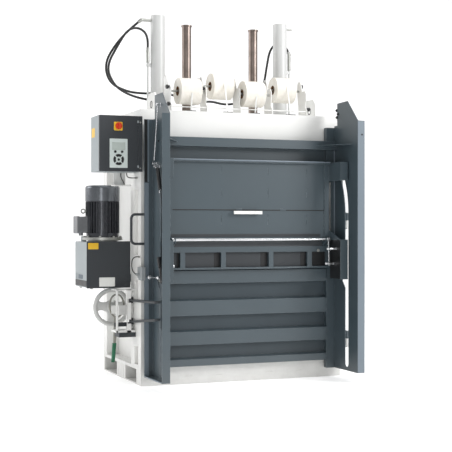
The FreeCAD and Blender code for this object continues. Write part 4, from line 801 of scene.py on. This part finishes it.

# Rounded folds in a paler coat, as painted highlight: the nose of the flap's rail, the rear fold of the
# right wing and the foot of the left wing. Each has its two ends, its radius and the softness of its ends.
foldLook = {
    "railNose": {"body": "flap", "bars": [
        ((-0.704, -0.6795, 1.7605), (0.704, -0.6795, 1.7605), 0.0058, 0.004)]},
    "wingFolds": {"body": "door", "bars": [
        ((0.7795, -0.6055, 1.150), (0.7795, -0.6055, 1.935), 0.0055, 0.01),
        ((-0.857, -0.604, 0.0845), (-0.845, -0.997, 0.0845), 0.0045, 0.01)]},
}
for name, look in foldLook.items():
    makePiece(name, look["body"], "paleTrimAndHighlightCoat",
              [roundBar(start, end, endedBar(radius, soft)) for start, end, radius, soft in look["bars"]])
print("folds")

# Beam of the flap: painted shade darkens its sloping brow and the backs of its pockets, a painted shadow
# runs in a band above the cross bar, black painted shadow fills the right ends of the pockets, and a rounded
# lip runs below it.
beamLook = {"brow": [(-0.6505, 1.0800), (-0.6515, 1.0804), (-0.6320, 1.1312), (-0.6307, 1.1308)],
            "browSpan": (-0.700, 0.648), "band": ((-0.030, -0.647, 1.168), (1.320, 0.024, 0.0012), 0.003),
            "pockets": ((-0.685, -0.580), (-0.540, -0.240), (-0.200, 0.170), (0.210, 0.512)),
            "back": (-0.6192, -0.6182), "height": (0.917, 1.036), "dark": (-0.6208, -0.6194), "share": 0.16,
            "lip": ((-0.6445, 0.9060, 0.0055), (-0.6380, 0.9065, 0.0050)), "half": 0.704, "corner": 0.002}


def beamPockets(look):
    (front, rear), (darkFront, darkRear), (low, high) = look["back"], look["dark"], look["height"]
    corner, backs, ends = look["corner"], [], []
    for left, right in look["pockets"]:
        darkLeft = right - look["share"] * (right - left)
        backs.append(boxGrid((left, front, low), (right, rear, high), corner))
        ends.append(boxGrid((darkLeft, darkFront, low + corner), (right, darkRear, high - corner), corner))
    return backs, ends


pocketBacks, pocketEnds = beamPockets(beamLook)
darkFaces = [slabAlong(beamLook["brow"], *beamLook["browSpan"]), plateGrid(*beamLook["band"])]
makePiece("beamShades", "flap", "darkTexturedCoat", darkFaces + pocketBacks, sharp=50)
makePiece("pocketShades", "flap", "blackNylon", pocketEnds, sharp=50)
lip = [roundBar((-beamLook["half"], y, z), (beamLook["half"], y, z), endedBar(radius, 0.004))
       for y, z, radius in beamLook["lip"]]
makePiece("beamLip", "flap", "greyPowderCoat", lip)
print("flap beam")

# Rear fork pocket: thin linings on its far wall and its floor, near both ends, as painted shade.
forkLook = {"middles": (-0.525, 0.525), "half": 0.21, "wallY": (0.4905, 0.4915), "wallZ": (0.014, 0.118),
            "floor": [(0.128, 0.0124), (0.128, 0.0136), (0.489, 0.0136), (0.489, 0.0124)]}
forkSpans = [(middle - forkLook["half"], middle + forkLook["half"]) for middle in forkLook["middles"]]
(wallFront, wallRear), (wallLow, wallHigh) = forkLook["wallY"], forkLook["wallZ"]
forkWalls = [boxGrid((left, wallFront, wallLow), (right, wallRear, wallHigh), 0.001)
             for left, right in forkSpans]
makePiece("forkPocketShadeWalls", "machine", "forkPocketShadeCoat", forkWalls, sharp=50)
forkFloors = [slabAlong(forkLook["floor"], left, right) for left, right in forkSpans]
makePiece("forkPocketShadeFloors", "machine", "lightGreyPowderCoat", forkFloors, sharp=50)
print("fork pockets")

# The door's skin between its ribs, under a darker coat as painted shade.
recessLook = {"half": 0.703, "y": (-0.5632, -0.5622),
              "z": ((0.2135, 0.3070), (0.4290, 0.5350), (0.6700, 0.7880))}
recessHalf, (recessFront, recessRear) = recessLook["half"], recessLook["y"]
recesses = [boxGrid((-recessHalf, recessFront, low), (recessHalf, recessRear, high), 0.001)
            for low, high in recessLook["z"]]
makePiece("doorRecessShades", "door", "ribRecessShadeCoat", recesses, sharp=50)
print("door recesses")

# Thin plates, strips and facings: middle of the back, then width, height and depth.
panels = {
    "caseStrip": {"centre": (-0.888, -0.600, 1.8735), "size": (0.034, 0.427, 0.0018), "slot": "dark_grey",
                  "finish": "darkTexturedCoat"},
    "switchPlate": {"centre": (-1.064, -0.600, 2.005), "size": (0.068, 0.066, 0.0022), "corner": 0.006,
                    "body": "case_door", "slot": "switch_red", "finish": "yellowAbs"},
    "displayPane": {"centre": (-1.061, -0.601, 1.852), "size": (0.1035, 0.0595, 0.0012), "corner": 0.003,
                    "body": "case_door", "slot": "panel_light", "finish": "displayAcrylic"},
    "ratingPlate": {"centre": (-1.0595, -0.270, 0.8005), "size": (0.128, 0.072, 0.0012), "corner": 0.004,
                    "slot": "panel_light", "finish": "printedPlateFilm"},
    "tankStrip": {"centre": (-1.224, -0.086, 0.788), "size": (0.350, 0.048, 0.0015), "corner": 0.003,
                  "toLeft": True},
    "tankWindow": {"centre": (-1.224, -0.075, 0.838), "size": (0.130, 0.033, 0.0020), "corner": 0.004,
                   "finish": "sightGlassAcrylic", "toLeft": True},
    "rightFlangeFace": {"centre": (0.8135, -1.000, 1.078), "size": (0.061, 1.994, 0.0012),
                        "body": "door", "slot": "door_grey", "finish": "paleTrimAndHighlightCoat"},
    # Paler strips on the left wing's rear flange are painted highlight; the black strip beside them is
    # painted shade.
    "rearFlangeHighlightFace": {"centre": (-0.8395, -0.606, 0.830), "size": (0.036, 1.490, 0.0012),
                       "body": "door", "slot": "door_grey", "finish": "paleTrimAndHighlightCoat"},
    "rearFlangeHighlight": {"centre": (-0.8255, -0.606, 1.822), "size": (0.010, 0.480, 0.0010),
                       "body": "door", "slot": "door_grey", "finish": "paleTrimAndHighlightCoat"},
    "rearFlangeShade": {"centre": (-0.845, -0.606, 1.822), "size": (0.022, 0.480, 0.0010), "body": "door"},
    # Painted shade on the inner face of the flap's right arm.
    "lowArmShade": {"centre": (0.705, -0.762, 0.9745), "size": (0.180, 0.312, 0.0010), "body": "flap",
                    "toLeft": True},
    "tankYellowPlate": {"centre": (-1.172, -0.270, 1.0845), "size": (0.084, 0.050, 0.0010),
                        "corner": 0.005, "slot": "panel_light", "finish": "yellowAbs"},
    "caseYellowPlate": {"centre": (-1.211, -0.420, 1.962), "size": (0.092, 0.072, 0.0010),
                        "corner": 0.006, "slot": "panel_light", "finish": "yellowAbs", "toLeft": True},
    "flapSeam": {"centre": (0.012, -0.6500, 1.3700), "size": (1.310, 0.0065, 0.0010), "body": "flap"},
    # Painted shadow on the back of the right-hand pocket of the flap's beam.
    "pocketShadePlate": {"centre": (0.6185, -0.618, 0.9765), "size": (0.130, 0.115, 0.0010), "body": "flap"},
}
panelDefaults = {"corner": 0.002, "body": "machine", "slot": "black_plastic", "finish": "blackNylon",
                 "toLeft": False}
for name, look in panels.items():
    look = panelDefaults | look
    grid = plateGrid(look["centre"], look["size"], look["corner"], toLeft=look["toLeft"])
    makePiece(name, look["body"], look["finish"], [grid])
print("panels:", len(panels))
